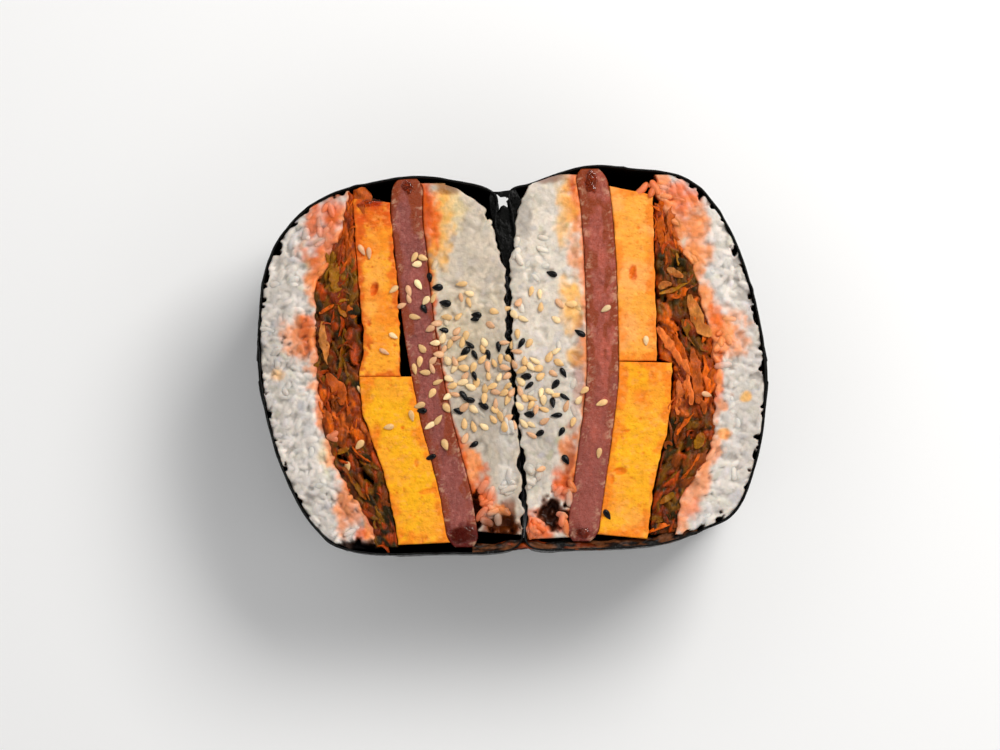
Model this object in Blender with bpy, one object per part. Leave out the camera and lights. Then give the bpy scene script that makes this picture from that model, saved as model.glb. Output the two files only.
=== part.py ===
"""Kimchi musubi: a nori-wrapped block of rice, kimchi, rolled egg and luncheon meat, cut in two.

The two halves stand on their wrapped ends, back to back, with the cut faces up. Seen from above,
+X runs across the layers and +Y along them. The floor is at z = 0. All sizes here are in
millimetres, and plan sizes are those of the cut faces.
"""

import math
import random

import bmesh
import bpy
import numpy as np
from mathutils import Matrix, Vector, noise

MM = 0.001

CUT_HEIGHT = 48.0
NORI_THICKNESS = 0.5
GAP = 0.3
WRAP_SEGMENTS = 40
# Layers are first made past the room inside the wrap, and then cut to it.
ABOVE_CUT = 8.0
BELOW_FLOOR = -5.0
PAST_SIDE = 70.0
PAST_SEAM = 8.0
CORE_GROWTH = 1.0

# The wrap's outer outline at the cut face, from the corner at the notch between the halves.
WRAP_LEFT = [
    (-4.3, 41.6), (-13.5, 44.9), (-26.5, 45.9), (-43.9, 42.3), (-54.5, 35.6), (-61.7, 23.5),
    (-63.7, 8.0), (-62.6, -9.5), (-57.7, -27.4), (-49.7, -42.1), (-39.4, -48.2), (-17.0, -48.7),
    (0.4, -47.4), (2.7, -38.0), (1.3, -21.0), (-1.0, 1.2), (-1.7, 22.0), (-3.9, 33.0),
]
WRAP_RIGHT = [
    (-3.0, 41.3), (5.0, 44.6), (18.6, 48.7), (32.0, 47.9), (42.5, 46.2), (50.2, 39.8),
    (56.8, 28.0), (61.7, 11.0), (63.6, -5.5), (61.7, -22.9), (56.2, -37.6), (48.0, -42.6),
    (36.5, -46.3), (18.6, -47.6), (4.4, -47.0), (3.7, -38.0), (2.2, -21.0), (-0.1, 1.2),
    (-0.9, 22.0), (0.6, 32.5),
]

# How far the wrapped end draws in, as (height, inset), and how far the outer sides swell half way up.
END_PROFILE = [(0.0, 6.5), (0.7, 4.0), (2.6, 1.9), (7.0, 0.5), (20.0, 0.0)]
ROUNDED_HEIGHT = 7.0
SWELL = 0.8
SWELL_REACH = 63.0

# Edges between layers, as (y, x) down each cut face.
RICE_KIMCHI_LEFT = [
    (47, -40.5), (38, -41.2), (30, -43.9), (16, -49.2), (1, -48.8), (-17, -46.9), (-30, -42.1),
    (-41, -35.6), (-49, -33.0),
]
KIMCHI_EGG_LEFT = [
    (47, -40.3), (37, -40.0), (28, -39.4), (14, -38.2), (4, -37.4), (-4, -38.3), (-13, -37.6),
    (-21, -34.9), (-29, -32.2), (-36, -30.4), (-49, -28.2),
]
UPPER_EGG_MEAT_LEFT = [(44, -30.9), (37, -31.0), (28, -30.4), (19, -29.7), (8, -28.9), (-4, -28.2)]
KIMCHI_RICE_RIGHT = [
    (48, 35.5), (41, 36.0), (38, 37.2), (34, 39.4), (29, 41.4), (24, 44.4), (16, 47.0), (4, 49.6),
    (-8, 50.9), (-18, 50.0), (-26, 47.2), (-32, 43.6), (-42, 40.9), (-48, 39.6),
]
UPPER_EGG_KIMCHI_RIGHT = [(48, 35.0), (41, 35.2), (20, 35.7), (-1, 36.2)]
LOWER_EGG_KIMCHI_RIGHT = [(0, 40.1), (-10, 39.6), (-18, 38.6), (-26, 36.4), (-38, 34.3), (-46, 33.6)]
KIMCHI_EGG_RIGHT = [
    (48, 35.5), (20, 36.2), (6, 37.0), (1, 40.6), (-2, 40.8), (-10, 40.1), (-18, 39.1),
    (-26, 36.9), (-38, 34.8), (-48, 34.1),
]

# Each slice of meat: its middle line as (y, x). The slice narrows to a blunt tip at each end.
MEAT_LEFT = [(45.5, -26.3), (37, -26.6), (28, -25.7), (8, -23.4), (-15, -19.1), (-34, -14.2), (-47, -12.1)]
MEAT_RIGHT = [(48.0, 19.4), (38, 21.1), (18, 22.3), (-2, 22.6), (-22, 20.5), (-38, 18.2), (-45.5, 17.3)]
MEAT_THICKNESS = 7.9
MEAT_TIP = 9.0
TIP_BLUNTNESS = 0.8

# The hollow left where the end of the right half's inner rice has slipped.
HOLLOW_CENTRE = (9.8, -37.2)
HOLLOW_RADIUS = (4.4, 3.0)
HOLLOW_DEPTH = 9.0
HOLLOW_SIDES = 10

# How far each layer's cut face lies above the cut plane, how uneven it is, and how far its rim drops.
LEVELS = {"rice": -1.3, "kimchi": -1.6, "egg": -0.1, "meat": -0.2}
RELIEF = {"rice": 0.9, "kimchi": 1.4, "egg": 0.5, "meat": 0.3}
EDGE_DROP = {"rice": 0.0, "kimchi": 0.4, "egg": 0.6, "meat": 0.6}
# The shares of its thickness at which a layer's face has points, and the spacing of its rows of points.
SLAB_COLUMNS = {
    "rice": (0, 0.33, 0.67, 1),
    "kimchi": (0, 0.5, 1),
    "egg": (0, 0.08, 0.92, 1),
    "meat": (0, 0.1, 0.5, 0.9, 1),
}
ROW_STEP = 6.0
ROW_INSET = 1.0
LOOKS = {
    # base colour, roughness
    "nori": ((0.012, 0.016, 0.012), 0.45),
    "rice": ((0.86, 0.83, 0.76), 0.5),
    "kimchi": ((0.42, 0.15, 0.03), 0.35),
    "egg": ((0.95, 0.56, 0.08), 0.5),
    "meat": ((0.44, 0.20, 0.18), 0.4),
}

GRAIN_LENGTH = 6.3
GRAIN_WIDTH = 3.0
GRAIN_LIFT = 0.25
GRAIN_SPACING = 4.4
GRAIN_TRIES = 1500
GRAIN_TILT = 0.35
GRAIN_SIDES = 5
# Rings of a grain, a seed and the hollow, as (share of the length, share of the width).
GRAIN_RINGS = [(0.22, 0.86), (0.78, 0.86)]
SEED_RINGS = [(0.25, 0.8), (0.65, 0.9)]
HOLLOW_RINGS = [(0.15, 0.7), (0.5, 1.0), (0.85, 0.7)]

SHRED_THICKNESS = 1.0
SHREDS_PER_SIDE = 10
SHRED_POINTS = 4

SEED_LENGTH = 2.9
SEED_WIDTH = 1.8
SEED_HEIGHT = 1.1
SEED_SIDES = 5
SEED_SPACING = 2.1
SEED_CLUSTERS = [
    # x, y, spread in x, spread in y, seeds
    (-2.0, -3.0, 8.5, 7.0, 60),
    (-12.0, 0.0, 8.0, 13.0, 34),
    (11.0, -4.0, 8.0, 13.0, 24),
    (-30.0, -4.0, 9.0, 18.0, 10),
]


def smooth(points):
    """A function giving x at a height y, on a smooth curve through (y, x) points."""
    ordered = sorted(points)
    ys = np.array([p[0] for p in ordered], float)
    xs = np.array([p[1] for p in ordered], float)
    steps = np.diff(xs) / np.diff(ys)
    slopes = np.concatenate([steps[:1], np.zeros(len(xs) - 2), steps[-1:]])
    same_way = steps[:-1] * steps[1:] > 0
    slopes[1:-1][same_way] = 2 / (1 / steps[:-1][same_way] + 1 / steps[1:][same_way])

    def at(y):
        k = int(np.clip(np.searchsorted(ys, y) - 1, 0, len(ys) - 2))
        span = ys[k + 1] - ys[k]
        t = float(np.clip((y - ys[k]) / span, 0, 1))
        start = (2 * t**3 - 3 * t**2 + 1) * xs[k] + (t**3 - 2 * t**2 + t) * span * slopes[k]
        end = (3 * t**2 - 2 * t**3) * xs[k + 1] + (t**3 - t**2) * span * slopes[k + 1]
        return float(start + end)

    return at


def shifted(edge, by):
    return lambda y: edge(y) + by


def straight(x):
    return lambda y: x


def ring_through(points, count):
    """Evenly spaced points on a closed Catmull-Rom curve through given ones, counter-clockwise."""
    corners = np.array(points, float)
    ahead = np.roll(corners, -1, axis=0)
    if np.sum(corners[:, 0] * ahead[:, 1] - corners[:, 1] * ahead[:, 0]) < 0:
        corners = corners[::-1]
    fine = []
    for k in range(len(corners)):
        a, b, c, d = (corners[(k + s) % len(corners)] for s in (-1, 0, 1, 2))
        for t in np.linspace(0, 1, 16, endpoint=False):
            bend = (2 * a - 5 * b + 4 * c - d) * t**2 + (3 * b - a - 3 * c + d) * t**3
            fine.append(0.5 * (2 * b + (c - a) * t + bend))
    fine = np.array([*fine, fine[0]])
    along = np.concatenate([[0], np.cumsum(np.linalg.norm(np.diff(fine, axis=0), axis=1))])
    stops = np.linspace(0, along[-1], count, endpoint=False)
    return np.stack([np.interp(stops, along, fine[:, k]) for k in (0, 1)], axis=1)


def inward(ring):
    """Unit normals of a counter-clockwise ring, pointing into it."""
    along = np.roll(ring, -1, axis=0) - np.roll(ring, 1, axis=0)
    along /= np.linalg.norm(along, axis=1, keepdims=True)
    return np.stack([-along[:, 1], along[:, 0]], axis=1)


def wrap_ring(outline, height, inset, skin):
    """The wrap's ring at a height: drawn in towards its middle by inset, and in from its face by skin."""
    to_middle = outline.mean(axis=0) - outline
    to_middle /= np.linalg.norm(to_middle, axis=1, keepdims=True)
    ring = outline + to_middle * inset + inward(outline) * skin
    bulge = SWELL / SWELL_REACH * math.sin(math.pi * min(height, CUT_HEIGHT) / CUT_HEIGHT)
    return ring * (1 + bulge, 1)


def profile_levels(skin):
    """(height, inset, skin) of the rings of a surface that lies `skin` inside the wrap's outer face."""
    levels = []
    for height, inset in END_PROFILE:
        flatness = max(0.0, 1.0 - height / ROUNDED_HEIGHT)
        levels.append((height + skin * flatness, inset, skin * (1.0 - 0.5 * flatness)))
    return levels


def make_object(name, vertices, faces):
    """An object from points in millimetres."""
    mesh = bpy.data.meshes.new(name)
    mesh.from_pydata([Vector(v) * MM for v in vertices], [], faces)
    mesh.validate()
    shape = bpy.data.objects.new(name, mesh)
    bpy.context.scene.collection.objects.link(shape)
    return shape


def make_rings(name, rings):
    """A closed solid from successive rings of points, capped at both ends."""
    count = len(rings[0])
    vertices = [point for ring in rings for point in ring]
    faces = [tuple(reversed(range(count)))]
    for r in range(len(rings) - 1):
        for k in range(count):
            a, b = r * count + k, r * count + (k + 1) % count
            faces.append((a, b, b + count, a + count))
    faces.append(tuple(range(len(vertices) - count, len(vertices))))
    return make_object(name, vertices, faces)


def make_wrap_rings(name, outline, levels):
    rings = []
    for height, inset, skin in levels:
        rings.append([(x, y, height) for x, y in wrap_ring(outline, height, inset, skin)])
    return make_rings(name, rings)


def make_nori(name, outline):
    """The wrap of one half: a thin cup, open at the cut face."""
    outer = [*profile_levels(0.0), (CUT_HEIGHT, 0.0, 0.0)]
    inner = [*profile_levels(NORI_THICKNESS), (CUT_HEIGHT, 0.0, NORI_THICKNESS)]
    shape = make_wrap_rings(name, outline, outer + inner[::-1])
    paint(shape, "nori", *LOOKS["nori"])
    return shape


def make_room(outline):
    """The room inside one half's wrap, a gap clear of it, carried up past the cut face."""
    clear = NORI_THICKNESS + GAP
    return make_wrap_rings("room", outline, [*profile_levels(clear), (CUT_HEIGHT + ABOVE_CUT, 0.0, clear)])


def face_height(kind, x, y):
    """The height of a layer's uneven cut face at a spot."""
    return CUT_HEIGHT + LEVELS[kind] + RELIEF[kind] * noise.noise(Vector((x, y, LEVELS[kind])) * 0.2)


def row_heights(layer, share, growth):
    """y of each row of points, at a share of a layer's thickness. Rows between layers line up."""
    start = layer["low"][0] * (1 - share) + layer["low"][1] * share - growth
    end = layer["high"][0] * (1 - share) + layer["high"][1] * share + growth
    first = math.ceil((max(layer["low"]) + 2 * ROW_INSET) / ROW_STEP)
    last = math.floor((min(layer["high"]) - 2 * ROW_INSET) / ROW_STEP)
    between = [k * ROW_STEP for k in range(first, last + 1)]
    return [start, start + ROW_INSET, *between, end - ROW_INSET, end]


def make_slab(name, layer, growth=0.0, flat_top=None):
    """A layer standing between its edges, grown past them, up to its cut face or to a flat top."""
    kind = layer["kind"]
    across = SLAB_COLUMNS[kind]
    columns = len(across)
    rows = list(zip(*(row_heights(layer, share, growth) for share in across)))
    top = []
    for r, row in enumerate(rows):
        for c, (share, y) in enumerate(zip(across, row)):
            x = (layer["left"](y) - growth) * (1 - share) + (layer["right"](y) + growth) * share
            on_rim = r in (0, len(rows) - 1) or c in (0, columns - 1)
            height = flat_top or face_height(kind, x, y) - EDGE_DROP[kind] * on_rim
            top.append((x, y, height))
    bottom = [(x, y, BELOW_FLOOR) for x, y, _ in top]
    offset = len(top)
    faces = []
    for r in range(len(rows) - 1):
        for c in range(columns - 1):
            a = r * columns + c
            b, d, e = a + 1, a + columns, a + columns + 1
            faces.append((a, b, e, d))
            faces.append((a + offset, d + offset, e + offset, b + offset))
    rim = list(range(columns))
    rim += [r * columns + columns - 1 for r in range(1, len(rows))]
    rim += [(len(rows) - 1) * columns + c for c in range(columns - 2, -1, -1)]
    rim += [r * columns for r in range(len(rows) - 2, 0, -1)]
    for k, a in enumerate(rim):
        b = rim[(k + 1) % len(rim)]
        faces.append((b, a, a + offset, b + offset))
    return make_object(name, top + bottom, faces)


def make_pod(size, sides, rings, place, turn, tilt):
    """A faceted pod of a given length, width and height, tapering to a point at each end."""
    length, width, height = size
    vertices = [(-length / 2, 0, 0)]
    for share, girth in rings:
        for k in range(sides):
            angle = 2 * math.pi * k / sides
            across = width / 2 * girth * math.cos(angle)
            up = height / 2 * girth * math.sin(angle)
            vertices.append((length * (share - 0.5), across, up))
    vertices.append((length / 2, 0, 0))
    last = len(vertices) - 1
    faces = [(0, 1 + (k + 1) % sides, 1 + k) for k in range(sides)]
    for r in range(len(rings) - 1):
        for k in range(sides):
            a, b = 1 + r * sides + k, 1 + r * sides + (k + 1) % sides
            faces.append((a, b, b + sides, a + sides))
    faces += [(last - sides + k, last - sides + (k + 1) % sides, last) for k in range(sides)]
    spin = Matrix.Rotation(turn, 3, "Z") @ Matrix.Rotation(tilt, 3, "Y")
    return make_object("pod", [spin @ Vector(v) + Vector(place) for v in vertices], faces)


def make_grain(x, y, turn, tilt):
    size = (GRAIN_LENGTH, GRAIN_WIDTH, GRAIN_WIDTH)
    place = (x, y, CUT_HEIGHT + LEVELS["rice"] + GRAIN_LIFT)
    return make_pod(size, GRAIN_SIDES, GRAIN_RINGS, place, turn, tilt)


def make_seed(x, y, height, turn):
    """A sesame seed lying flat, a quarter sunk in what carries it."""
    place = (x, y, height + SEED_HEIGHT / 4)
    return make_pod((SEED_LENGTH, SEED_WIDTH, SEED_HEIGHT), SEED_SIDES, SEED_RINGS, place, turn, 0)


def make_shred(middle, heading, length, width, level, draw):
    """A wavy strip of cabbage lying along the cut face."""
    bend, wave = draw.uniform(-0.5, 0.5), draw.uniform(0, 2 * math.pi)
    step = length / (SHRED_POINTS - 1)
    x = middle[0] - math.cos(heading) * length / 2
    y = middle[1] - math.sin(heading) * length / 2
    rings = []
    for k in range(SHRED_POINTS):
        share = k / (SHRED_POINTS - 1)
        angle = heading + bend * (share - 0.5)
        side = Vector((-math.sin(angle), math.cos(angle), 0.35 * math.sin(wave + 5 * share)))
        half = width / 2 * (0.3 + 0.7 * math.sin(math.pi * (0.12 + 0.76 * share)))
        centre = Vector((x, y, level + 0.5 * math.sin(wave + 4 * share)))
        up = Vector((0, 0, SHRED_THICKNESS / 2))
        rings.append([centre - side * half - up, centre + side * half - up,
                      centre + side * half + up, centre - side * half + up])
        x += math.cos(angle) * step
        y += math.sin(angle) * step
    return make_rings("shred", rings)


def apply_modifiers(shape):
    bpy.context.view_layer.update()
    graph = bpy.context.evaluated_depsgraph_get()
    made = bpy.data.meshes.new_from_object(shape.evaluated_get(graph))
    shape.modifiers.clear()
    shape.data = made


def combine(shape, other, operation, solver="EXACT"):
    """Cuts a shape with another, which is then removed."""
    cut = shape.modifiers.new("cut", "BOOLEAN")
    cut.operation = operation
    cut.solver = solver
    cut.object = other
    apply_modifiers(shape)
    bpy.data.objects.remove(other, do_unlink=True)


def fuse(shape, pieces):
    """Joins loose pieces to the shape that carries them, in one union."""
    if not pieces:
        return
    group = bpy.data.collections.new("pieces")
    bpy.context.scene.collection.children.link(group)
    for piece in pieces:
        bpy.context.scene.collection.objects.unlink(piece)
        group.objects.link(piece)
    join = shape.modifiers.new("join", "BOOLEAN")
    join.operation = "UNION"
    join.operand_type = "COLLECTION"
    join.solver = "MANIFOLD"
    join.collection = group
    apply_modifiers(shape)
    for piece in pieces:
        bpy.data.objects.remove(piece, do_unlink=True)
    bpy.data.collections.remove(group)


def keep_largest(shape):
    """Drops loose scraps and fills sealed hollows, by keeping the largest shell alone."""
    shell = bmesh.new()
    shell.from_mesh(shape.data)
    left, islands = set(shell.faces), []
    while left:
        island, front = set(), [left.pop()]
        while front:
            face = front.pop()
            island.add(face)
            touching = {other for side in face.edges for other in side.link_faces} & left
            left -= touching
            front += touching
        islands.append(island)
    islands.sort(key=len)
    for island in islands[:-1]:
        bmesh.ops.delete(shell, geom=list(island), context="FACES")
    shell.to_mesh(shape.data)
    shell.free()


def paint(shape, name, colour, roughness):
    material = bpy.data.materials.get(name) or bpy.data.materials.new(name)
    material.use_nodes = True
    surface = material.node_tree.nodes["Principled BSDF"]
    surface.inputs["Base Color"].default_value = (*colour, 1)
    surface.inputs["Roughness"].default_value = roughness
    surface.inputs["Metallic"].default_value = 0.0
    shape.data.materials.clear()
    shape.data.materials.append(material)


def meat_edges(middle_line):
    """The two edges of a slice of meat."""
    middle = smooth(middle_line)
    first, last = min(middle_line)[0], max(middle_line)[0]

    def half(y):
        from_tip = max(0.0, min(y - first, last - y)) + TIP_BLUNTNESS
        return MEAT_THICKNESS / 2 * math.sqrt(min(1.0, from_tip / MEAT_TIP))

    return (lambda y: middle(y) - half(y)), (lambda y: middle(y) + half(y))


def make_layer(kind, left, right, low, high):
    """What a layer is made of, its edges as x at a height y, and y at its ends, at each edge."""
    return {"kind": kind, "left": left, "right": right, "low": low, "high": high}


def layers_left():
    """The left half's layers, from its outer side to the middle. The rice runs out to the wrap."""
    rice_kimchi, kimchi_egg = smooth(RICE_KIMCHI_LEFT), smooth(KIMCHI_EGG_LEFT)
    meat_left, meat_right = meat_edges(MEAT_LEFT)
    before, after = -GAP / 2, GAP / 2
    return {
        "rice_outer_left": make_layer(
            "rice", straight(-PAST_SIDE), shifted(rice_kimchi, before), (-50, -50), (47, 47)
        ),
        "kimchi_left": make_layer(
            "kimchi", shifted(rice_kimchi, after), shifted(kimchi_egg, before), (-47, -47), (40.5, 40)
        ),
        "egg_upper_left": make_layer(
            "egg", shifted(kimchi_egg, after), smooth(UPPER_EGG_MEAT_LEFT), (-4, -4.2), (40.4, 39.4)
        ),
        "egg_lower_left": make_layer(
            "egg", shifted(kimchi_egg, after), shifted(meat_left, -GAP), (-46.4, -45.8), (-4.4, -4.6)
        ),
        "meat_left": make_layer("meat", meat_left, meat_right, (-47, -47), (45.5, 45.5)),
        "rice_inner_left": make_layer(
            "rice", shifted(meat_right, GAP), straight(PAST_SEAM), (-43, -45.5), (47, 47)
        ),
    }


def layers_right():
    """The right half's layers, from the middle to its outer side. The rice runs out to the wrap."""
    kimchi_egg, kimchi_rice = smooth(KIMCHI_EGG_RIGHT), smooth(KIMCHI_RICE_RIGHT)
    meat_left, meat_right = meat_edges(MEAT_RIGHT)
    before, after = -GAP / 2, GAP / 2
    return {
        "rice_inner_right": make_layer(
            "rice", straight(-PAST_SEAM), shifted(meat_left, -GAP), (-45.5, -44.5), (50, 50)
        ),
        "meat_right": make_layer("meat", meat_left, meat_right, (-45.5, -45.5), (48, 48)),
        "egg_upper_right": make_layer(
            "egg", shifted(meat_right, GAP), smooth(UPPER_EGG_KIMCHI_RIGHT), (-0.4, -0.4), (43.6, 41.3)
        ),
        "egg_lower_right": make_layer(
            "egg", shifted(meat_right, GAP), smooth(LOWER_EGG_KIMCHI_RIGHT), (-43.7, -44.9), (-0.8, -1.2)
        ),
        "kimchi_right": make_layer(
            "kimchi", shifted(kimchi_egg, after), shifted(kimchi_rice, before), (-44, -43), (38.5, 38.5)
        ),
        "rice_outer_right": make_layer(
            "rice", shifted(kimchi_rice, after), straight(PAST_SIDE), (-49, -49), (50, 50)
        ),
    }


def on_face(layer, outline, x, y, margin):
    """Whether a spot lies on a layer's cut face, `margin` inside its edges."""
    if not max(layer["low"]) + margin < y < min(layer["high"]) - margin:
        return False
    if not layer["left"](y) + margin < x < layer["right"](y) - margin:
        return False
    nearest = int(np.argmin(np.hypot(outline[:, 0] - x, outline[:, 1] - y)))
    depth = (np.array([x, y]) - outline[nearest]) @ inward(outline)[nearest]
    return depth > margin + NORI_THICKNESS + GAP


def near_hollow(x, y):
    across = (x - HOLLOW_CENTRE[0]) / HOLLOW_RADIUS[0]
    along = (y - HOLLOW_CENTRE[1]) / HOLLOW_RADIUS[1]
    return math.hypot(across, along) < 1.2


def scatter_seeds(draw):
    """(x, y, turn) of every sesame seed, in clusters that thin out from the middle of the cut faces."""
    seeds = []
    for x, y, spread_x, spread_y, count in SEED_CLUSTERS:
        for _ in range(count):
            spot = (draw.gauss(x, spread_x), draw.gauss(y, spread_y), draw.uniform(0, 2 * math.pi))
            if all(math.dist(spot[:2], other[:2]) > SEED_SPACING for other in seeds):
                seeds.append(spot)
    return seeds


def scatter_grains(layer, outline, draw):
    """(x, y, turn, tilt) of the grains on a rice layer, kept apart by their spacing."""
    grains = []
    low, high = outline.min(axis=0), outline.max(axis=0)
    for _ in range(GRAIN_TRIES):
        x, y = draw.uniform(low[0], high[0]), draw.uniform(low[1], high[1])
        turn, tilt = draw.uniform(0, math.pi), draw.uniform(-GRAIN_TILT, GRAIN_TILT)
        if near_hollow(x, y) or not on_face(layer, outline, x, y, GRAIN_WIDTH / 2):
            continue
        if all(math.dist((x, y), other[:2]) > GRAIN_SPACING for other in grains):
            grains.append((x, y, turn, tilt))
    return grains


def scatter_shreds(layer, draw):
    """Strips of cabbage spread along a kimchi layer."""
    shreds = []
    low, high = min(layer["low"]), max(layer["high"])
    for k in range(SHREDS_PER_SIDE):
        y = low + (high - low) * (k + draw.uniform(0.2, 0.8)) / SHREDS_PER_SIDE
        share = draw.uniform(0.25, 0.75)
        x = layer["left"](y) * (1 - share) + layer["right"](y) * share
        heading = math.pi / 2 + draw.uniform(-0.5, 0.5)
        length, width = draw.uniform(8, 15), draw.uniform(2.0, 3.6)
        level = CUT_HEIGHT + LEVELS["kimchi"] + SHRED_THICKNESS / 2
        shreds.append(make_shred((x, y), heading, length, width, level, draw))
    return shreds


def height_over(grains, x, y):
    """How far a seed at a spot is lifted by the nearest grain, if there are any."""
    nearest = min([GRAIN_WIDTH, *(math.dist((x, y), grain[:2]) for grain in grains)])
    return (GRAIN_LIFT + GRAIN_WIDTH / 2) * (1 - (nearest / GRAIN_WIDTH) ** 2)


def make_pieces(layer, outline, seeds, draw):
    """What lies on a layer's cut face: grains or shreds, and sesame seeds."""
    kind = layer["kind"]
    seeds = [s for s in seeds if on_face(layer, outline, s[0], s[1], SEED_LENGTH / 2)]
    pieces, grains = [], []
    if kind == "rice":
        grains = scatter_grains(layer, outline, draw)
        pieces = [make_grain(*grain) for grain in grains]
        seeds = [s for s in seeds if not near_hollow(s[0], s[1])]
    if kind == "kimchi":
        pieces = scatter_shreds(layer, draw)
    for x, y, turn in seeds:
        pieces.append(make_seed(x, y, face_height(kind, x, y) + height_over(grains, x, y), turn))
    return pieces


def make_hollow():
    size = (2 * HOLLOW_DEPTH, 2 * HOLLOW_RADIUS[1], 2 * HOLLOW_RADIUS[0])
    return make_pod(size, HOLLOW_SIDES, HOLLOW_RINGS, (*HOLLOW_CENTRE, CUT_HEIGHT), 0, math.pi / 2)


def build_layer(name, layer, outline, seeds, draw):
    """One layer with its pieces fused on, cut to the room inside the wrap.

    Grains and shreds reach past the layer's edges, so rice and kimchi are also cut to those.
    """
    kind = layer["kind"]
    if kind in ("rice", "kimchi"):
        shape = make_slab(name, layer, CORE_GROWTH)
        fuse(shape, make_pieces(layer, outline, seeds, draw))
        place = make_slab("place", layer, flat_top=CUT_HEIGHT + ABOVE_CUT)
        combine(shape, place, "INTERSECT", "MANIFOLD")
        combine(shape, make_room(outline), "INTERSECT", "MANIFOLD")
    else:
        shape = make_slab(name, layer)
        fuse(shape, make_pieces(layer, outline, seeds, draw))
        combine(shape, make_room(outline), "INTERSECT")
    if name == "rice_inner_right":
        combine(shape, make_hollow(), "DIFFERENCE")
    keep_largest(shape)
    paint(shape, kind, *LOOKS[kind])


def build_half(side, wrap, layers, seeds, draw):
    outline = ring_through(wrap, WRAP_SEGMENTS)
    make_nori("nori_" + side, outline)
    for name, layer in layers.items():
        build_layer(name, layer, outline, seeds, draw)


def main():
    for old in list(bpy.data.objects):
        bpy.data.objects.remove(old, do_unlink=True)
    draw = random.Random(7)
    seeds = scatter_seeds(draw)
    build_half("left", WRAP_LEFT, layers_left(), seeds, draw)
    build_half("right", WRAP_RIGHT, layers_right(), seeds, draw)


main()
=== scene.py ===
"""Looks of the kimchi musubi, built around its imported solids.

Sizes are in millimetres in the part's own frame: +X runs across the layers, +Y along them, the
floor is at z = 0 and the cut faces are at z = 48. Every piece rides on the one body, "root".
Colours are display values from 0 to 255.
"""

import math

import bpy
import numpy as np
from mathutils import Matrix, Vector


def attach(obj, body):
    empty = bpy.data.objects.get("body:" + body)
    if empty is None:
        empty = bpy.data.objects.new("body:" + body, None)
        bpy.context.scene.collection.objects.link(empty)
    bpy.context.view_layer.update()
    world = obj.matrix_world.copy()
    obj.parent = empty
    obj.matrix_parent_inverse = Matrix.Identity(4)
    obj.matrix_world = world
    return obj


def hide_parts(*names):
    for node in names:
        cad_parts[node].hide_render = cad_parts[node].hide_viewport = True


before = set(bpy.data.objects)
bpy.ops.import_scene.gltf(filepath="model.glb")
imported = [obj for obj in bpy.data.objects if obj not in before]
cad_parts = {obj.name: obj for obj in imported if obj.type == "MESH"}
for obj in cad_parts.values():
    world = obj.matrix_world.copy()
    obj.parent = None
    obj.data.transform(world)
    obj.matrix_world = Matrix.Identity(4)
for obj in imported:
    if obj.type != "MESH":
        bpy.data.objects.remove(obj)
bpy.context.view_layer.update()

MM = 0.001
CUT = 48.0
FLOOR_OF_FILLING = 0.8
SKIN = 0.45
GAP = 0.05
# How far inside the wrap's outer face the fillings, their edges, the loose grains, and the edges at
# the seam stay.
CLEAR = SKIN + 0.1
EDGE_CLEAR = SKIN + 0.15
GRAIN_CLEAR = SKIN + 0.05
SEAM_CLEAR = 0.2
# A turned-in or torn sheet of nori.
SHEET_THICKNESS = 0.3

# For each filling: the spacing of its grid, and the radius of its rounded edges.
SPACING = {"rice": 0.29, "egg": 0.25, "meat": 0.28, "kimchi": 0.24}
ROUNDED = {"rice": 0.55, "egg": 0.35, "meat": 0.45, "kimchi": 0.4}

# The wrap and the layers, nearly as in the part's source.
WRAP_LEFT = [
    (-4.3, 41.6), (-13.5, 44.9), (-26.5, 45.9), (-43.9, 42.3), (-54.5, 35.6), (-61.7, 23.5),
    (-63.7, 8.0), (-62.6, -9.5), (-57.7, -27.4), (-49.7, -42.1), (-39.4, -48.2), (-17.0, -48.7),
    (0.4, -47.4), (2.7, -38.0), (1.3, -21.0), (-1.0, 1.2), (-1.7, 22.0), (-3.9, 33.0),
]
WRAP_RIGHT = [
    (-0.9, 42.0), (5.0, 44.6), (18.6, 48.7), (32.0, 47.9), (42.5, 46.2), (50.2, 39.8), (56.8, 28.0),
    (61.7, 11.0), (63.6, -5.5), (61.7, -22.9), (56.2, -37.6), (48.0, -42.6), (36.5, -46.3),
    (18.6, -47.6), (4.4, -47.0), (3.7, -38.0), (2.2, -21.0), (-0.1, 1.2), (-0.9, 22.0), (0.4, 33.0),
]
END_PROFILE = [(0.0, 6.5), (0.7, 4.0), (2.6, 1.9), (7.0, 0.5), (20.0, 0.0)]
SWELL = 0.25
SWELL_REACH = 63.0
RICE_KIMCHI_LEFT = [
    (47, -40.5), (38, -41.2), (30, -43.9), (16, -49.2), (1, -48.8), (-17, -46.9), (-30, -42.1),
    (-41, -35.6), (-49, -33.0),
]
KIMCHI_EGG_LEFT = [
    (47, -40.3), (37, -40.0), (28, -39.4), (14, -38.2), (4, -37.4), (-4, -38.3), (-13, -37.6),
    (-21, -34.9), (-29, -32.2), (-36, -30.4), (-49, -28.2),
]
UPPER_EGG_MEAT_LEFT = [(44, -30.7), (37, -30.6), (28, -29.8), (19, -28.9), (8, -28.4), (-4, -28.0)]
KIMCHI_RICE_RIGHT = [
    (48, 35.5), (41, 36.0), (38, 37.2), (34, 39.4), (29, 41.4), (24, 44.4), (16, 47.0), (4, 49.6),
    (-8, 50.9), (-18, 50.0), (-26, 47.2), (-32, 43.6), (-42, 40.9), (-48, 39.6),
]
UPPER_EGG_KIMCHI_RIGHT = [(48, 35.0), (41, 35.2), (20, 35.7), (-1, 36.2)]
LOWER_EGG_KIMCHI_RIGHT = [
    (0, 40.1), (-10, 39.6), (-18, 38.6), (-26, 36.4), (-38, 34.3), (-46, 33.6),
]
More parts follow.
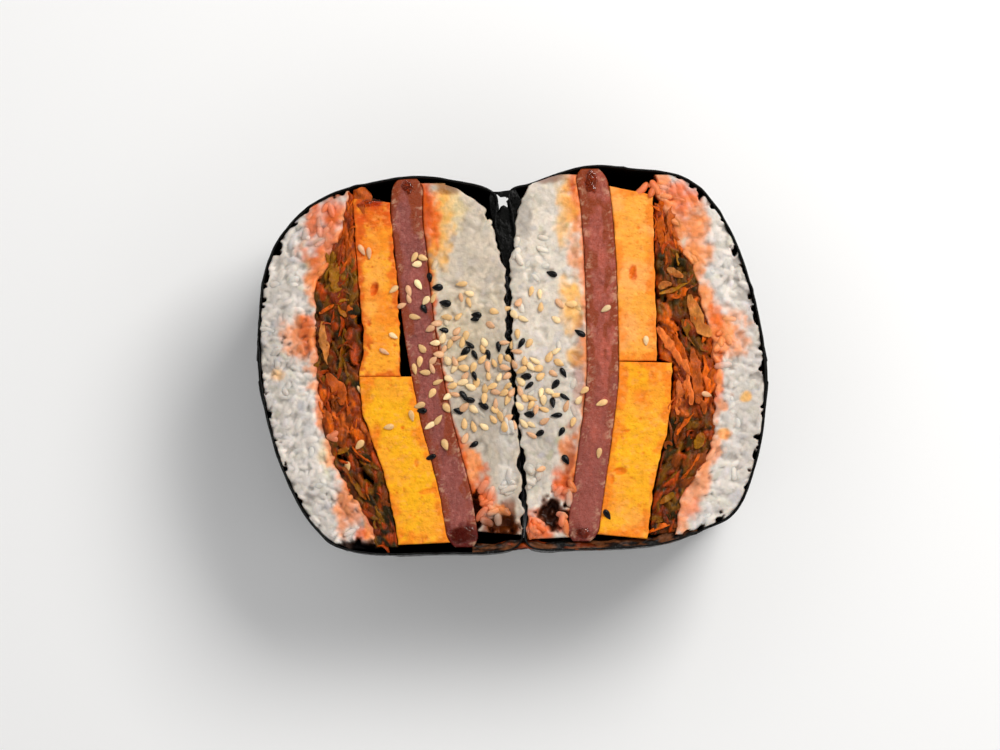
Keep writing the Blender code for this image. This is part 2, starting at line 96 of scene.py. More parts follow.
KIMCHI_EGG_RIGHT = [
    (48, 35.5), (20, 36.0), (6, 36.4), (0.4, 36.8), (-1.4, 40.4), (-10, 39.9), (-18, 38.9),
    (-26, 36.9), (-38, 34.8), (-48, 34.1),
]
MEAT_LEFT = [
    (45.5, -26.3), (37, -26.6), (28, -25.7), (8, -23.4), (-15, -19.1), (-34, -14.2), (-47, -12.1),
]
MEAT_RIGHT = [
    (48.0, 19.4), (38, 21.1), (18, 22.3), (-2, 22.6), (-22, 20.5), (-38, 18.2), (-45.5, 17.3),
]
MEAT_THICKNESS = 7.9
MEAT_TIP = 4.5
TIP_BLUNTNESS = 0.7
# Places where the rice is missing, as x, y, half-width, half-length, and the colour of the painted
# shade in them.
HOLLOWS = {
    "rice_outer_left": ([(-37.8, -47.8, 6.5, 2.5)], "black"),
    "rice_inner_left": ([(-8.9, -38.2, 1.3, 5.0), (-2.2, -42.4, 4.2, 3.0)], "brown"),
    "rice_inner_right": ([(10.2, -38.0, 4.0, 4.0)], "dark_brown"),
}

# Where the inner rice stops short of the wrap beside the notch, as (y, x).
RICE_NOTCH_LEFT = [
    (44, -17.0), (42.5, -12.5), (40, -9.0), (36, -6.2), (31, -4.4), (26, -3.2), (18, -0.6),
    (-50, 6),
]
RICE_NOTCH_RIGHT = [
    (47.5, 9.0), (44.5, 4.9), (40, 2.4), (34, 0.6), (28, -0.6), (20, -2.4), (-50, -2.4),
]

PALETTE = {
    "white": (216, 206, 196),
    "white_inner": (220, 207, 191),
    # Painted shade: the rice's white, darker for the inner left rice where less light falls.
    "white_shaded": (206, 190, 170),
    "grey": (160, 150, 140),
    "cream": (232, 204, 146),
    "yellow": (248, 180, 78),
    "peach": (244, 145, 76),
    "pink": (226, 120, 72),
    "orange": (234, 100, 10),
    "deep_orange": (202, 76, 4),
    "brown": (124, 56, 8),
    "dark_brown": (58, 22, 3),
    "black": (5, 4, 3),
    "olive": (118, 73, 5),
    "dark_olive": (54, 40, 4),
    "leaf": (152, 98, 8),
    "stem": (192, 118, 50),
    "onion": (182, 84, 22),
    "rust": (160, 58, 4),
    "amber": (204, 90, 8),
    "egg": (254, 166, 40),
    "egg_yellow": (252, 178, 14),
    "egg_pale": (255, 168, 84),
    "egg_rim": (242, 126, 18),
    "egg_deep": (216, 82, 4),
    "cabbage": (224, 114, 48),
    "meat": (146, 75, 66),
    "meat_pale": (196, 124, 110),
    "meat_dark": (116, 50, 42),
    "meat_right": (170, 82, 64),
    "speck_and_glint": (238, 196, 158),
    "crust": (138, 53, 9),
    "glaze": (92, 12, 1),
    "film": (252, 206, 172),
    "nori": (6, 6, 5),
    "nori_sauce_and_sheen": (108, 64, 36),
    "sesame": (228, 184, 124),
    "sesame_pale": (244, 212, 160),
    "sesame_pink": (222, 170, 126),
    "sesame_black": (5, 4, 5),
}

# Soft patches of colour on the rice: x, y, half-width, half-length, colour, strength. Most are
# stains; the grey patches along the outer rims and the seam are painted shade.
RICE_STAINS_AND_SHADE = {
    "rice_outer_left": [
        # The first two grey patches are painted shade along the outer rim.
        (-60, 0, 4, 60, "grey", 0.3), (-52, -38, 9, 9, "grey", 0.15),
        (-47.2, 31.0, 6.0, 7.6, "pink", 0.95), (-45.5, 37.5, 4.5, 4.0, "orange", 0.75),
        (-43.4, 42.0, 3.2, 2.6, "onion", 0.9), (-49.6, 20.0, 2.8, 4.6, "peach", 0.95),
        (-48.6, 22.0, 2.0, 6.0, "orange", 0.55), (-53.2, 6.0, 5.0, 5.8, "peach", 0.9),
        (-50.6, 7.0, 2.6, 5.0, "orange", 0.7), (-58.6, -4.0, 1.8, 1.8, "yellow", 0.6),
        (-48.0, -12, 1.2, 6.0, "orange", 0.7), (-40.4, -36.5, 4.0, 7.0, "peach", 0.85),
        (-37.2, -43.4, 3.0, 2.0, "orange", 0.95), (-46.5, -24, 2.0, 4.0, "cream", 0.5),
        (-46.4, 25.2, 2.2, 1.6, "onion", 0.85), (-52.2, 5.2, 3.4, 4.4, "rust", 0.35),
        (-39.6, -38.0, 3.0, 6.0, "rust", 0.35),
    ],
    "rice_outer_right": [
        # The grey patch is painted shade along the outer rim.
        (60, -20, 4, 40, "grey", 0.25), (39.5, 41.5, 8.0, 4.6, "orange", 0.85),
        (41.5, 35.0, 5.0, 6.0, "orange", 0.85), (45.6, 31.0, 4.6, 8.0, "peach", 0.9),
        (45.0, 21.0, 2.8, 7.0, "peach", 0.95), (48.5, 13.0, 3.2, 6.0, "peach", 0.9),
        (53.5, 7.0, 5.6, 6.4, "peach", 0.95), (50.5, 9.0, 2.4, 6.0, "orange", 0.75),
        (51.2, -5.0, 1.5, 8.0, "orange", 0.95), (46.4, -30.0, 3.0, 5.4, "peach", 0.8),
        (43.8, -37.5, 3.0, 3.2, "orange", 0.65), (58.2, -9.4, 1.5, 1.3, "yellow", 0.8),
        (52.8, -18.8, 1.4, 1.4, "yellow", 0.8),
    ],
    "rice_inner_left": [
        # The first grey patch is painted shade along the seam.
        (-1.0, 0, 2.6, 60, "grey", 0.25), (-16.0, 38.0, 4.6, 5.6, "cream", 0.8),
        (-18.6, 34, 3.6, 12, "yellow", 0.85), (-20.6, 35.0, 2.6, 11.0, "orange", 0.95),
        (-21.6, 38.5, 1.5, 8.0, "deep_orange", 0.9), (-16.5, 43.2, 5.0, 1.6, "brown", 0.7),
        (-20.6, 20, 2.0, 10.0, "yellow", 0.7), (-12, 6, 9, 13, "cream", 0.25),
        (-7, -12, 9, 24, "grey", 0.4), (-10.5, -26, 2.6, 6.0, "peach", 0.9),
        (-6.8, -35, 2.6, 7.0, "orange", 0.95), (-9.3, -38.0, 1.5, 5.5, "brown", 0.95),
        (-1.4, -19.0, 2.4, 4.6, "white", 0.8), (-1.8, -30.5, 2.4, 5.0, "white", 0.8),
        (-3.0, -41.8, 5.4, 4.0, "brown", 1.0), (-1.0, -37.6, 2.0, 3.2, "brown", 0.8),
        (-4.2, -37.4, 2.0, 1.4, "peach", 0.8),
    ],
    "rice_inner_right": [
        (15.4, 40.5, 2.6, 8.0, "orange", 0.95), (13.4, 38, 3.0, 9.0, "yellow", 0.7),
        (9.5, 46.0, 4.4, 1.6, "brown", 0.7), (16.0, 43.6, 1.8, 4.6, "deep_orange", 0.9),
        (15.4, 27, 2.0, 8.0, "peach", 0.7), (14.8, 14.5, 3.2, 7.5, "yellow", 0.85),
        (15.8, 1.0, 2.4, 3.0, "yellow", 0.8), (6, -18, 6, 14, "grey", 0.4),
        (14.0, -24.0, 2.4, 6.0, "peach", 0.9), (12.6, -31, 3.4, 4.0, "orange", 0.95),
        (15.4, -26, 2.6, 10.0, "rust", 0.8), (17.0, -3.0, 2.2, 13.0, "rust", 0.5),
        (5.8, -42.4, 5.6, 4.0, "orange", 0.95), (13, -41, 4.0, 3.0, "deep_orange", 0.9),
        (3.0, 37, 1.8, 7, "grey", 0.7),
    ],
}


def linear(colour):
    """A palette colour as a linear one."""
    value = np.array(PALETTE[colour], float) / 255
    return np.where(value <= 0.04045, value / 12.92, ((value + 0.055) / 1.055) ** 2.4)


def mixed(tints, colour, weight):
    """Tints moved towards a colour by a weight for each point."""
    return tints + (linear(colour) - tints) * np.asarray(weight)[..., None]


# Noise: random values on a lattice, which each seed and octave reads from another place.
LATTICE_SIZE = 40
LATTICE = np.random.default_rng(3).uniform(-1, 1, (LATTICE_SIZE, LATTICE_SIZE, LATTICE_SIZE))
SEED_SHIFT = 5.17
LINE_SHIFT = 3.3


def field(points, size, seed=0, octaves=1):
    """Smooth noise of about -1 to 1 at 2-D or 3-D points, with bumps `size` across."""
    points = np.asarray(points, float)
    flat = points.reshape(-1, points.shape[-1])
    if flat.shape[1] == 2:
        flat = np.column_stack([flat, np.zeros(len(flat))])
    total, weight = np.zeros(len(flat)), 1.0
    for octave in range(octaves):
        place = flat / size * 2**octave + SEED_SHIFT * (seed + 3 * octave)
        cell = np.floor(place).astype(int)
        part = place - cell
        part = part * part * (3 - 2 * part)
        for corner in np.ndindex(2, 2, 2):
            share = np.prod(np.where(corner, part, 1 - part), axis=1)
            i, j, k = ((cell + corner) % LATTICE_SIZE).T
            total += weight * share * LATTICE[i, j, k]
        weight /= 2
    return total.reshape(points.shape[:-1])


def line_noise(along, size, seed):
    """Smooth noise along a line."""
    along = np.asarray(along, float)
    return field(np.stack([along, np.full_like(along, LINE_SHIFT * seed)], -1), size, seed, 2)


def step(value):
    """0 below 0, 1 above 1, and smooth between."""
    value = np.clip(value, 0, 1)
    return value * value * (3 - 2 * value)


def below(value, top, softness):
    """Values kept under a top, with a smooth bend where they reach it."""
    return top - softness * np.logaddexp(0, (top - value) / softness)


def oval(x, y, middle_x, middle_y, half_x, half_y, turn=0.0):
    """Spots in the frame of a turned oval, as shares of its half axes."""
    dx, dy = x - middle_x, y - middle_y
    c, s = math.cos(turn), math.sin(turn)
    return (dx * c + dy * s) / half_x, (dy * c - dx * s) / half_y


def smooth(points):
    """A function giving x at heights y, on a smooth curve through (y, x) points."""
    ys, xs = np.array(sorted(points), float).T
    steps = np.diff(xs) / np.diff(ys)
    slopes = np.concatenate([steps[:1], np.zeros(len(xs) - 2), steps[-1:]])
    same_way = steps[:-1] * steps[1:] > 0
    slopes[1:-1][same_way] = 2 / (1 / steps[:-1][same_way] + 1 / steps[1:][same_way])

    def at(y):
        k = np.clip(np.searchsorted(ys, y) - 1, 0, len(ys) - 2)
        span = ys[k + 1] - ys[k]
        t = np.clip((y - ys[k]) / span, 0, 1)
        start = (2 * t**3 - 3 * t**2 + 1) * xs[k] + (t**3 - 2 * t**2 + t) * span * slopes[k]
        return start + (3 * t**2 - 2 * t**3) * xs[k + 1] + (t**3 - t**2) * span * slopes[k + 1]

    return at


SPAN_POINTS = 16


def ring_through(points, count):
    """Evenly spaced points on a closed Catmull-Rom curve through given ones, counter-clockwise."""
    corners = np.array(points, float)
    ahead = np.roll(corners, -1, axis=0)
    if np.sum(corners[:, 0] * ahead[:, 1] - corners[:, 1] * ahead[:, 0]) < 0:
        corners = corners[::-1]
    t = np.linspace(0, 1, SPAN_POINTS, endpoint=False)[:, None]
    fine = []
    for k in range(len(corners)):
        a, b, c, d = (corners[(k + s) % len(corners)] for s in (-1, 0, 1, 2))
        bend = (2 * a - 5 * b + 4 * c - d) * t**2 + (3 * b - a - 3 * c + d) * t**3
        fine.append(0.5 * (2 * b + (c - a) * t + bend))
    return even(np.concatenate(fine), count)


def even(outline, count):
    """Evenly spaced points along a closed outline."""
    closed = np.concatenate([outline, outline[:1]])
    along = np.concatenate([[0], np.cumsum(np.linalg.norm(np.diff(closed, axis=0), axis=1))])
    stops = np.linspace(0, along[-1], count, endpoint=False)
    return np.stack([np.interp(stops, along, closed[:, k]) for k in (0, 1)], axis=1)


def inward(ring):
    """The way into the ring at each of its points."""
    along = np.roll(ring, -1, axis=0) - np.roll(ring, 1, axis=0)
    along /= np.linalg.norm(along, axis=1, keepdims=True)
    return np.stack([-along[:, 1], along[:, 0]], axis=1)


RING_POINTS = 420
RINGS = {
    "left": ring_through(WRAP_LEFT, RING_POINTS),
    "right": ring_through(WRAP_RIGHT, RING_POINTS),
}
NEAREST_AT_ONCE = 4000


def inset_at(height):
    """How far the wrap is drawn in at a height."""
    heights, insets = zip(*END_PROFILE)
    return np.interp(height, heights, insets)


def swell_at(height):
    """The stretch in x with which the wrap swells at a height."""
    return 1 + SWELL / SWELL_REACH * np.sin(np.pi * np.clip(height, 0, CUT) / CUT)


def depth_in(points, side):
    """How far points lie inside the outer face of a half's wrap, and the way further in."""
    ring = RINGS[side]
    ways = inward(ring)
    flat = points[:, :2] / np.column_stack([swell_at(points[:, 2]), np.ones(len(points))])
    depth, way = np.empty(len(flat)), np.empty((len(flat), 2))
    for start in range(0, len(flat), NEAREST_AT_ONCE):
        part = slice(start, start + NEAREST_AT_ONCE)
        nearest = np.argmin(((flat[part, None] - ring) ** 2).sum(axis=2), axis=1)
        way[part] = ways[nearest]
        depth[part] = ((flat[part] - ring[nearest]) * ways[nearest]).sum(axis=1)
    return depth - inset_at(points[:, 2]), way


def squeeze(points, side, clear):
    """Points moved into the wrap where they are less than `clear` from its outer face."""
    depth, way = depth_in(points, side)
    moved = points.copy()
    moved[:, :2] += way * np.maximum(0, clear - depth)[:, None]
    return moved


def wall(side, end, clear):
    """A function giving x of the wrap's face at heights y, at its left (-1) or right (1) end."""
    ring = RINGS[side]
    ring = ring + inward(ring) * clear
    ahead = np.roll(ring, -1, axis=0)

    def at(y):
        y = np.asarray(y, float)
        flat = np.clip(y.ravel(), ring[:, 1].min() + 0.01, ring[:, 1].max() - 0.01)[:, None]
        crossed = (ring[:, 1] <= flat) != (ahead[:, 1] <= flat)
        slope = (ahead[:, 0] - ring[:, 0]) / np.where(
            ahead[:, 1] == ring[:, 1], 1, ahead[:, 1] - ring[:, 1])
        x = np.where(crossed, ring[:, 0] + (flat - ring[:, 1]) * slope, -end * np.inf)
        return (x.max(axis=1) if end > 0 else x.min(axis=1)).reshape(y.shape)

    return at


class Piece:
    """A mesh gathered part by part, with a colour at each point."""

    def __init__(self):
        self.points, self.tints, self.faces, self.count = [], [], [], 0

    def add(self, points, tints, *face_groups):
        """Adds points, with their colours and the faces between them."""
        points = np.asarray(points, float).reshape(-1, 3)
        self.points.append(points)
        self.tints.append(np.broadcast_to(tints, points.shape))
        for faces in face_groups:
            self.faces += (np.asarray(faces) + self.count).tolist()
        self.count += len(points)

    def build(self, name, look, nodes=()):
        """The object, which rides on the root and may take the place of nodes."""
        mesh = bpy.data.meshes.new(name)
        mesh.from_pydata((np.concatenate(self.points) * MM).tolist(), [], self.faces)
        colours = mesh.color_attributes.new(name="Tint", type="FLOAT_COLOR", domain="POINT")
        tints = np.column_stack([np.clip(np.concatenate(self.tints), 0, 1), np.ones(self.count)])
        colours.data.foreach_set("color", tints.astype(np.float32).ravel())
        mesh.validate()
        mesh.materials.append(look)
        mesh.shade_smooth()
        shape = bpy.data.objects.new(name, mesh)
        bpy.context.scene.collection.objects.link(shape)
        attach(shape, "root")
        if nodes:
            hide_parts(*nodes)
        return shape


def grid(rows, columns, closed=False):
    """Faces of a grid of points stored row by row; `closed` joins its last column to its first."""
    r, c = np.meshgrid(np.arange(rows - 1), np.arange(columns - (not closed)), indexing="ij")
    a, b = r * columns + c, r * columns + (c + 1) % columns
    return np.stack([a, b, b + columns, a + columns], -1).reshape(-1, 4)


def fan(first, count, tip, inside_out=False):
    """Triangles from a closed ring of points, stored from `first` on, to a tip."""
    ring = first + np.arange(count)
    triangles = np.stack([ring, np.roll(ring, -1), np.full(count, tip)], -1)
    return triangles[:, ::-1] if inside_out else triangles


def border(rows, columns):
    """Indices of a grid's outer points, counter-clockwise."""
    index = np.arange(rows * columns).reshape(rows, columns)
    return np.concatenate([index[0, :-1], index[:-1, -1], index[-1, :0:-1], index[:0:-1, 0]])


def shell(sheet, thickness, closed=False):
    """Points and faces of a thin sheet, from a grid of points on its upper face."""
    rows, columns = sheet.shape[:2]
    if closed:
        across = np.roll(sheet, -1, axis=1) - np.roll(sheet, 1, axis=1)
    else:
        across = np.gradient(sheet, axis=1)
    normal = np.cross(across, np.gradient(sheet, axis=0))
    normal /= np.maximum(np.linalg.norm(normal, axis=2, keepdims=True), 1e-9)
    under = sheet - normal * thickness
    faces = grid(rows, columns, closed)
    count = rows * columns
    if closed:
        k = np.arange(columns)
        ahead = (k + 1) % columns
        last = (rows - 1) * columns
        rim = np.concatenate([
            np.stack([k + count, ahead + count, ahead, k], -1),
            np.stack([last + k, last + ahead, last + ahead + count, last + k + count], -1)])
    else:
        edge = border(rows, columns)
        ahead = np.roll(edge, -1)
        rim = np.stack([edge + count, ahead + count, ahead, edge], -1)
    points = np.concatenate([sheet.reshape(-1, 3), under.reshape(-1, 3)])
    return points, np.concatenate([faces, faces[:, ::-1] + count, rim])


def stations(length, spacing):
    """Shares along a length, closer together near its ends."""
    ends = np.array([0, 0.1, 0.3, 0.6, 1.0])
    middle = np.linspace(
        ends[-1], length - ends[-1], max(2, round((length - 2 * ends[-1]) / spacing) + 1))
    return np.concatenate([ends[:-1], middle, length - ends[-2::-1]]) / length


class Layer:
    """One layer of a half: its edges as functions of y, and y at its ends, at each edge."""

    def __init__(self, side, left, right, low, high):
        self.side, self.left, self.right, self.low, self.high = side, left, right, low, high

    def grid(self, spacing):
        """x and y of a grid on the layer, and each point's distance from the nearest edge."""
        y_mid = (max(self.low) + min(self.high)) / 2
        u = stations(float(self.right(y_mid) - self.left(y_mid)), spacing)
        v = stations(min(self.high) - max(self.low), spacing)
        u, v = np.meshgrid(u, v)
        low = self.low[0] * (1 - u) + self.low[1] * u
        high = self.high[0] * (1 - u) + self.high[1] * u
        y = low + (high - low) * v
        left = self.left(y)
        right = np.maximum(self.right(y), left + GAP)
        x = left * (1 - u) + right * u
        rim = np.minimum(np.minimum(u, 1 - u) * (right - left), np.minimum(v, 1 - v) * (high - low))
        return x, y, rim

    def spots(self, count, draw):
        """Random spots on the layer."""
        y = draw.uniform(max(self.low), min(self.high), count)
        return self.left(y) + (self.right(y) - self.left(y)) * draw.uniform(0, 1, count), y

    def heading(self, y):
        """The direction in which the layer runs at y."""
        middle = [(self.left(y + s) + self.right(y + s)) / 2 for s in (-1.0, 1.0)]
        return np.arctan2(2.0, middle[1] - middle[0])


def ragged(edge, amount, size, seed):
    """An edge with small random ins and outs."""
    return lambda y: edge(y) + amount * line_noise(y, size, seed)


def moved(edge, by):
    """An edge moved along X."""
    return lambda y: edge(y) + by


def meat_edges(middle_line):
    """The two edges of a slice of meat with blunt ends, around its middle line."""
    middle = smooth(middle_line)
    first, last = min(middle_line)[0], max(middle_line)[0]

    def half(y):
        from_tip = np.maximum(0.0, np.minimum(y - first, last - y)) + TIP_BLUNTNESS
        return MEAT_THICKNESS / 2 * np.sqrt(1 - (1 - np.minimum(1.0, from_tip / MEAT_TIP)) ** 2)

    return (lambda y: middle(y) - half(y)), (lambda y: middle(y) + half(y))


def make_layers():
    """All layers by name. The inner rice reaches over the top of the wrap at the seam."""
    meat_ll, meat_lr = meat_edges(MEAT_LEFT)
    meat_rl, meat_rr = meat_edges(MEAT_RIGHT)
    rice_kimchi, kimchi_egg = smooth(RICE_KIMCHI_LEFT), smooth(KIMCHI_EGG_LEFT)
    egg_kimchi, kimchi_rice = smooth(KIMCHI_EGG_RIGHT), smooth(KIMCHI_RICE_RIGHT)
    outer_left, outer_right = wall("left", -1, EDGE_CLEAR), wall("right", 1, EDGE_CLEAR)
    seam_left, seam_right = wall("left", 1, SEAM_CLEAR), wall("right", -1, SEAM_CLEAR)
    notch_left, notch_right = smooth(RICE_NOTCH_LEFT), smooth(RICE_NOTCH_RIGHT)
    return {
        "rice_outer_left": Layer(
            "left", outer_left, ragged(rice_kimchi, 1.0, 2.6, 1), (-47.4, -47.4), (42.4, 42.4)),
        "kimchi_left": Layer(
            "left", ragged(moved(rice_kimchi, -0.6), 0.5, 2.5, 11), kimchi_egg, (-47, -47),
            (41.8, 41.5)),
        "egg_upper_left": Layer(
            "left", ragged(moved(kimchi_egg, 0.15), 0.25, 2, 2),
            ragged(smooth(UPPER_EGG_MEAT_LEFT), 0.3, 2, 3),
            (-4.3, -4.3), (40.4, 39.4)),
        "egg_lower_left": Layer(
            "left", ragged(moved(kimchi_egg, 0.15), 0.3, 2, 4),
            ragged(moved(meat_ll, -GAP), 0.12, 2, 5),
            (-46.4, -45.8), (-4.4, -4.4)),
        "meat_left": Layer("left", meat_ll, meat_lr, (-47, -47), (45.5, 45.5)),
        "rice_inner_left": Layer(
            "left", moved(meat_lr, GAP),
            ragged(lambda y: np.minimum(seam_left(y), notch_left(y)), 0.8, 1.9, 12),
            (-43, -44), (44.4, 44.4)),
        "rice_inner_right": Layer(
            "right", ragged(lambda y: np.maximum(seam_right(y), notch_right(y)), 0.8, 1.9, 13),
            moved(meat_rl, -GAP),
            (-45, -44.5), (46.6, 46.6)),
        "meat_right": Layer("right", meat_rl, meat_rr, (-45.5, -45.5), (48, 48)),
        "egg_upper_right": Layer(
            "right", ragged(moved(meat_rr, GAP), 0.1, 2, 6),
            ragged(smooth(UPPER_EGG_KIMCHI_RIGHT), 0.2, 2, 7),
            (-0.4, -0.4), (43.6, 41.3)),
        "egg_lower_right": Layer(
            "right", ragged(moved(meat_rr, GAP), 0.12, 2, 8),
            ragged(smooth(LOWER_EGG_KIMCHI_RIGHT), 0.3, 2, 9),
            (-43.7, -44.9), (-0.6, -0.9)),
        "kimchi_right": Layer(
            "right", egg_kimchi, ragged(moved(kimchi_rice, 0.6), 0.5, 2.5, 14), (-44, -43),
            (39.5, 39)),
        "rice_outer_right": Layer(
            "right", ragged(kimchi_rice, 1.0, 2.6, 10), outer_right, (-43.8, -43.8), (46.6, 46.6)),
    }


LAYERS = make_layers()


def rounding(rim, radius):
    """How far a rounded edge drops at a distance from it."""
    short = np.clip(radius - rim, 0, radius)
    return radius - np.sqrt(radius**2 - short**2)


# Painted shade on a layer's sides: how much darker, over what depth; the heights of the rings down
# them.
SIDE_SHADE = 0.7
SIDE_DEPTH = 7
BLOCK_LEVELS = (47, 45.5, 42, 34, 22, 12, 7, 4, 2.6, 1.5, FLOOR_OF_FILLING)


def block(piece, name, spacing, surface, top_clear=None):
    """The body of a layer, from the floor of the wrap up to a surface of heights and colours."""
    layer = LAYERS[name]
    x, y, rim = layer.grid(spacing)
    rows, columns = x.shape
    height, tints = surface(x, y, rim)
    upper = np.stack([x, y, height], -1).reshape(-1, 3)
    tints = tints.reshape(-1, 3)
    edge = border(rows, columns)
    parts = [squeeze(upper, layer.side, top_clear(upper) if top_clear else CLEAR)]
    shades = [tints]
    for level in BLOCK_LEVELS:
        ring = upper[edge].copy()
        ring[:, 2] = np.minimum(level, parts[0][edge, 2] - 0.02 * (CUT - level))
        parts.append(squeeze(ring, layer.side, CLEAR))
        # Painted shade: each ring down the sides is darker the further below the cut it lies.
        shades.append(tints[edge] * (1 - SIDE_SHADE * float(step((CUT - level) / SIDE_DEPTH))))
    count, size = rows * columns, len(edge)
    index = [edge, *(count + k * size + np.arange(size) for k in range(len(BLOCK_LEVELS)))]
    walls = [
        np.stack([low, np.roll(low, -1), np.roll(high, -1), high], -1)
        for high, low in zip(index, index[1:])]
    lowest = index[-1]
    k = np.arange(1, rows - 2)
    floor = lowest[np.stack([(size - k) % size, size - k - 1, columns + k, columns - 1 + k], -1)]
    turn = rows + columns - 2
    low_end = lowest[[*range(columns + 1), size - 1]][::-1]
    high_end = lowest[[size - rows + 2, turn - 1, *range(turn, turn + columns)]][::-1]
    faces = [grid(rows, columns), *walls, floor, [low_end], [high_end]]
    piece.add(np.concatenate(parts), np.concatenate(shades), *faces)


def softened(values, times):
    """A grid of values, each one drawn towards the mean of its neighbours, a number of times."""
    margin = [(1, 1), (1, 1)] + [(0, 0)] * (values.ndim - 2)
    for _ in range(times):
        wide = np.pad(values, margin, mode="edge")
        nearby = wide[2:, 1:-1], wide[:-2, 1:-1], wide[1:-1, 2:], wide[1:-1, :-2]
        values = sum(nearby, 2 * values) / 6
    return values


class Bed:
    """A surface of heights and shades over a layer, on which shapes are laid."""

    def __init__(self, x, y, height, shade):
        self.x, self.y, self.shape = x.ravel(), y.ravel(), x.shape
        self.height, self.shade = height.ravel().copy(), shade.reshape(-1, 3).copy()

    def lay(
        self, middle, heading, half_length, half_width, thickness, shade, tilt=0.0, roll=0.0,
        bend=0.0, veins=0.0, seed=0):
        """A rounded shape, seen where it stands above what is already there."""
        cx, cy, cz = middle
        reach = half_length + half_width
        near = np.flatnonzero((np.abs(self.x - cx) < reach) & (np.abs(self.y - cy) < reach))
        u, v = oval(self.x[near], self.y[near], cx, cy, 1, 1, heading)
        v -= bend * u**2
        inside = 1 - (np.abs(u) / half_length) ** 2.3 - (v / half_width) ** 2
        top = cz + tilt * u + roll * v + thickness * np.sqrt(np.maximum(inside, 0))
        streak = np.zeros(len(u))
        if veins:
            streak = field(np.stack([u * 0.5, v * 2.4], -1), 1.0, seed, 2)
        top += 0.12 * veins * streak
        seen = (inside > 0) & (top > self.height[near])
        kept = near[seen]
        self.height[kept] = top[seen]
        self.shade[kept] = shade * (1 + veins * streak[seen])[:, None]

    def result(self):
        """The grids of heights and of shades."""
        return self.height.reshape(self.shape), self.shade.reshape(*self.shape, 3)


def pod(rings, sides):
    """Points, quads and triangles of a pod of length 1 along X, from (share, girth) rings."""
    turns = 2 * np.pi * np.arange(sides) / sides
    points = [[-0.5, 0, 0]]
    for share, girth in rings:
        points += [[share - 0.5, girth / 2 * math.cos(a), girth / 2 * math.sin(a)] for a in turns]
    points.append([0.5, 0, 0])
    quads = grid(len(rings), sides, closed=True) + 1
    last = len(points) - 1
    tips = [fan(1, sides, 0, inside_out=True), fan(last - sides, sides, last)]
    return np.array(points), quads, np.concatenate(tips)


def turned(points, heading, tilt, roll):
    """Sets of points turned by arrays of angles: roll, then tilt, then heading."""
    one, zero = np.ones_like(heading), np.zeros_like(heading)
    c, s = np.cos(roll), np.sin(roll)
    about_x = np.stack([one, zero, zero, zero, c, -s, zero, s, c], -1).reshape(-1, 3, 3)
    c, s = np.cos(tilt), np.sin(tilt)
    about_y = np.stack([c, zero, -s, zero, one, zero, s, zero, c], -1).reshape(-1, 3, 3)
    c, s = np.cos(heading), np.sin(heading)
    about_z = np.stack([c, -s, zero, s, c, zero, zero, zero, one], -1).reshape(-1, 3, 3)
    return np.einsum("nij,nkj->nki", about_z @ about_y @ about_x, points)


def add_copies(piece, shapes, quads, tris, tints):
    """Adds copies of one pod, given as an array of (copy, point, xyz)."""
    count, size = shapes.shape[:2]
    offsets = (np.arange(count) * size)[:, None, None]
    faces = [(group + offsets).reshape(-1, group.shape[1]) for group in (quads, tris)]
    piece.add(shapes.reshape(-1, 3), tints.reshape(-1, 3), *faces)


def stained(points, base, stains, seed):
    """The colour at each point: a base with soft patches over it."""
    tints = np.tile(linear(base), (len(points), 1))
    wobble = field(points[:, :2], 2.6, seed, 3)
    for *place, colour, strength in stains:
        a, b = oval(points[:, 0], points[:, 1], *place)
        edge = 0.8 - (a**2 + b**2) + 0.8 * wobble
        tints = mixed(tints, colour, strength * step(0.5 + edge / 1.6))
    return tints


# Rice: base colour; height of the bed, of the grains' middles and of the knife's cut over z = 48;
# strength of the painted shade in the creases between grains and painted light on their tops.
RICE = {
    "rice_outer_left": ("white", -1.15, -1.3, 0.05, 0.42),
    "rice_outer_right": ("white", -1.05, -1.2, 0.05, 0.3),
    # Its base colour is the rice's white with painted shade.
    "rice_inner_left": ("white_shaded", -0.75, -1.05, -0.05, 0.22),
    "rice_inner_right": ("white_inner", -0.75, -1.05, -0.05, 0.22),
}
# Colour beside the fillings: the edge of the rice, how far it reaches, and the colour.
FRINGES = {
    "rice_outer_left": ("right", 2.2, "peach"),
    "rice_outer_right": ("left", 3.0, "peach"),
    "rice_inner_left": ("left", 1.0, "orange"),
    "rice_inner_right": ("right", 1.2, "peach"),
}
FRINGE_EDGE = 0.8
# Loose grains: x, y, spread in x, spread in y, height over the cut plane, grains.
HEAPS = {
    "rice_outer_left": [
        (-45.6, 38.0, 1.0, 0.5, -0.4, 2), (-48.0, 33.0, 1.8, 2.0, -0.7, 7),
        (-44.6, -19.4, 0.8, 0.3, -0.6, 2),
    ],
    "rice_outer_right": [
        (34.0, 43.0, 1.6, 0.7, -0.5, 4), (38.5, 42.8, 1.8, 1.0, -0.7, 4),
        (51.0, 4.0, 1.2, 4.0, -0.7, 4),
    ],
    "rice_inner_left": [
        (-6.4, -35.8, 0.7, 2.8, -0.3, 9), (-1.0, -18.0, 0.5, 1.0, -0.2, 3),
        (-0.6, -30.4, 0.8, 1.4, -0.2, 5), (-3.4, -38.2, 1.2, 0.6, -0.3, 4),
    ],
    "rice_inner_right": [
        (5.6, -42.4, 2.2, 1.2, -0.3, 12), (4.6, -28.5, 0.8, 2.0, -0.3, 5),
        (13.2, -33, 1.4, 1.0, -0.4, 5), (13.4, -40.6, 0.9, 1.6, -0.4, 5),
        (1.2, 26.5, 0.4, 1.2, -0.3, 3),
    ],
}
GRAIN_RINGS = [
    (0.04, 0.46), (0.14, 0.8), (0.32, 0.97), (0.5, 1.0), (0.68, 0.97), (0.86, 0.8), (0.96, 0.46),
]
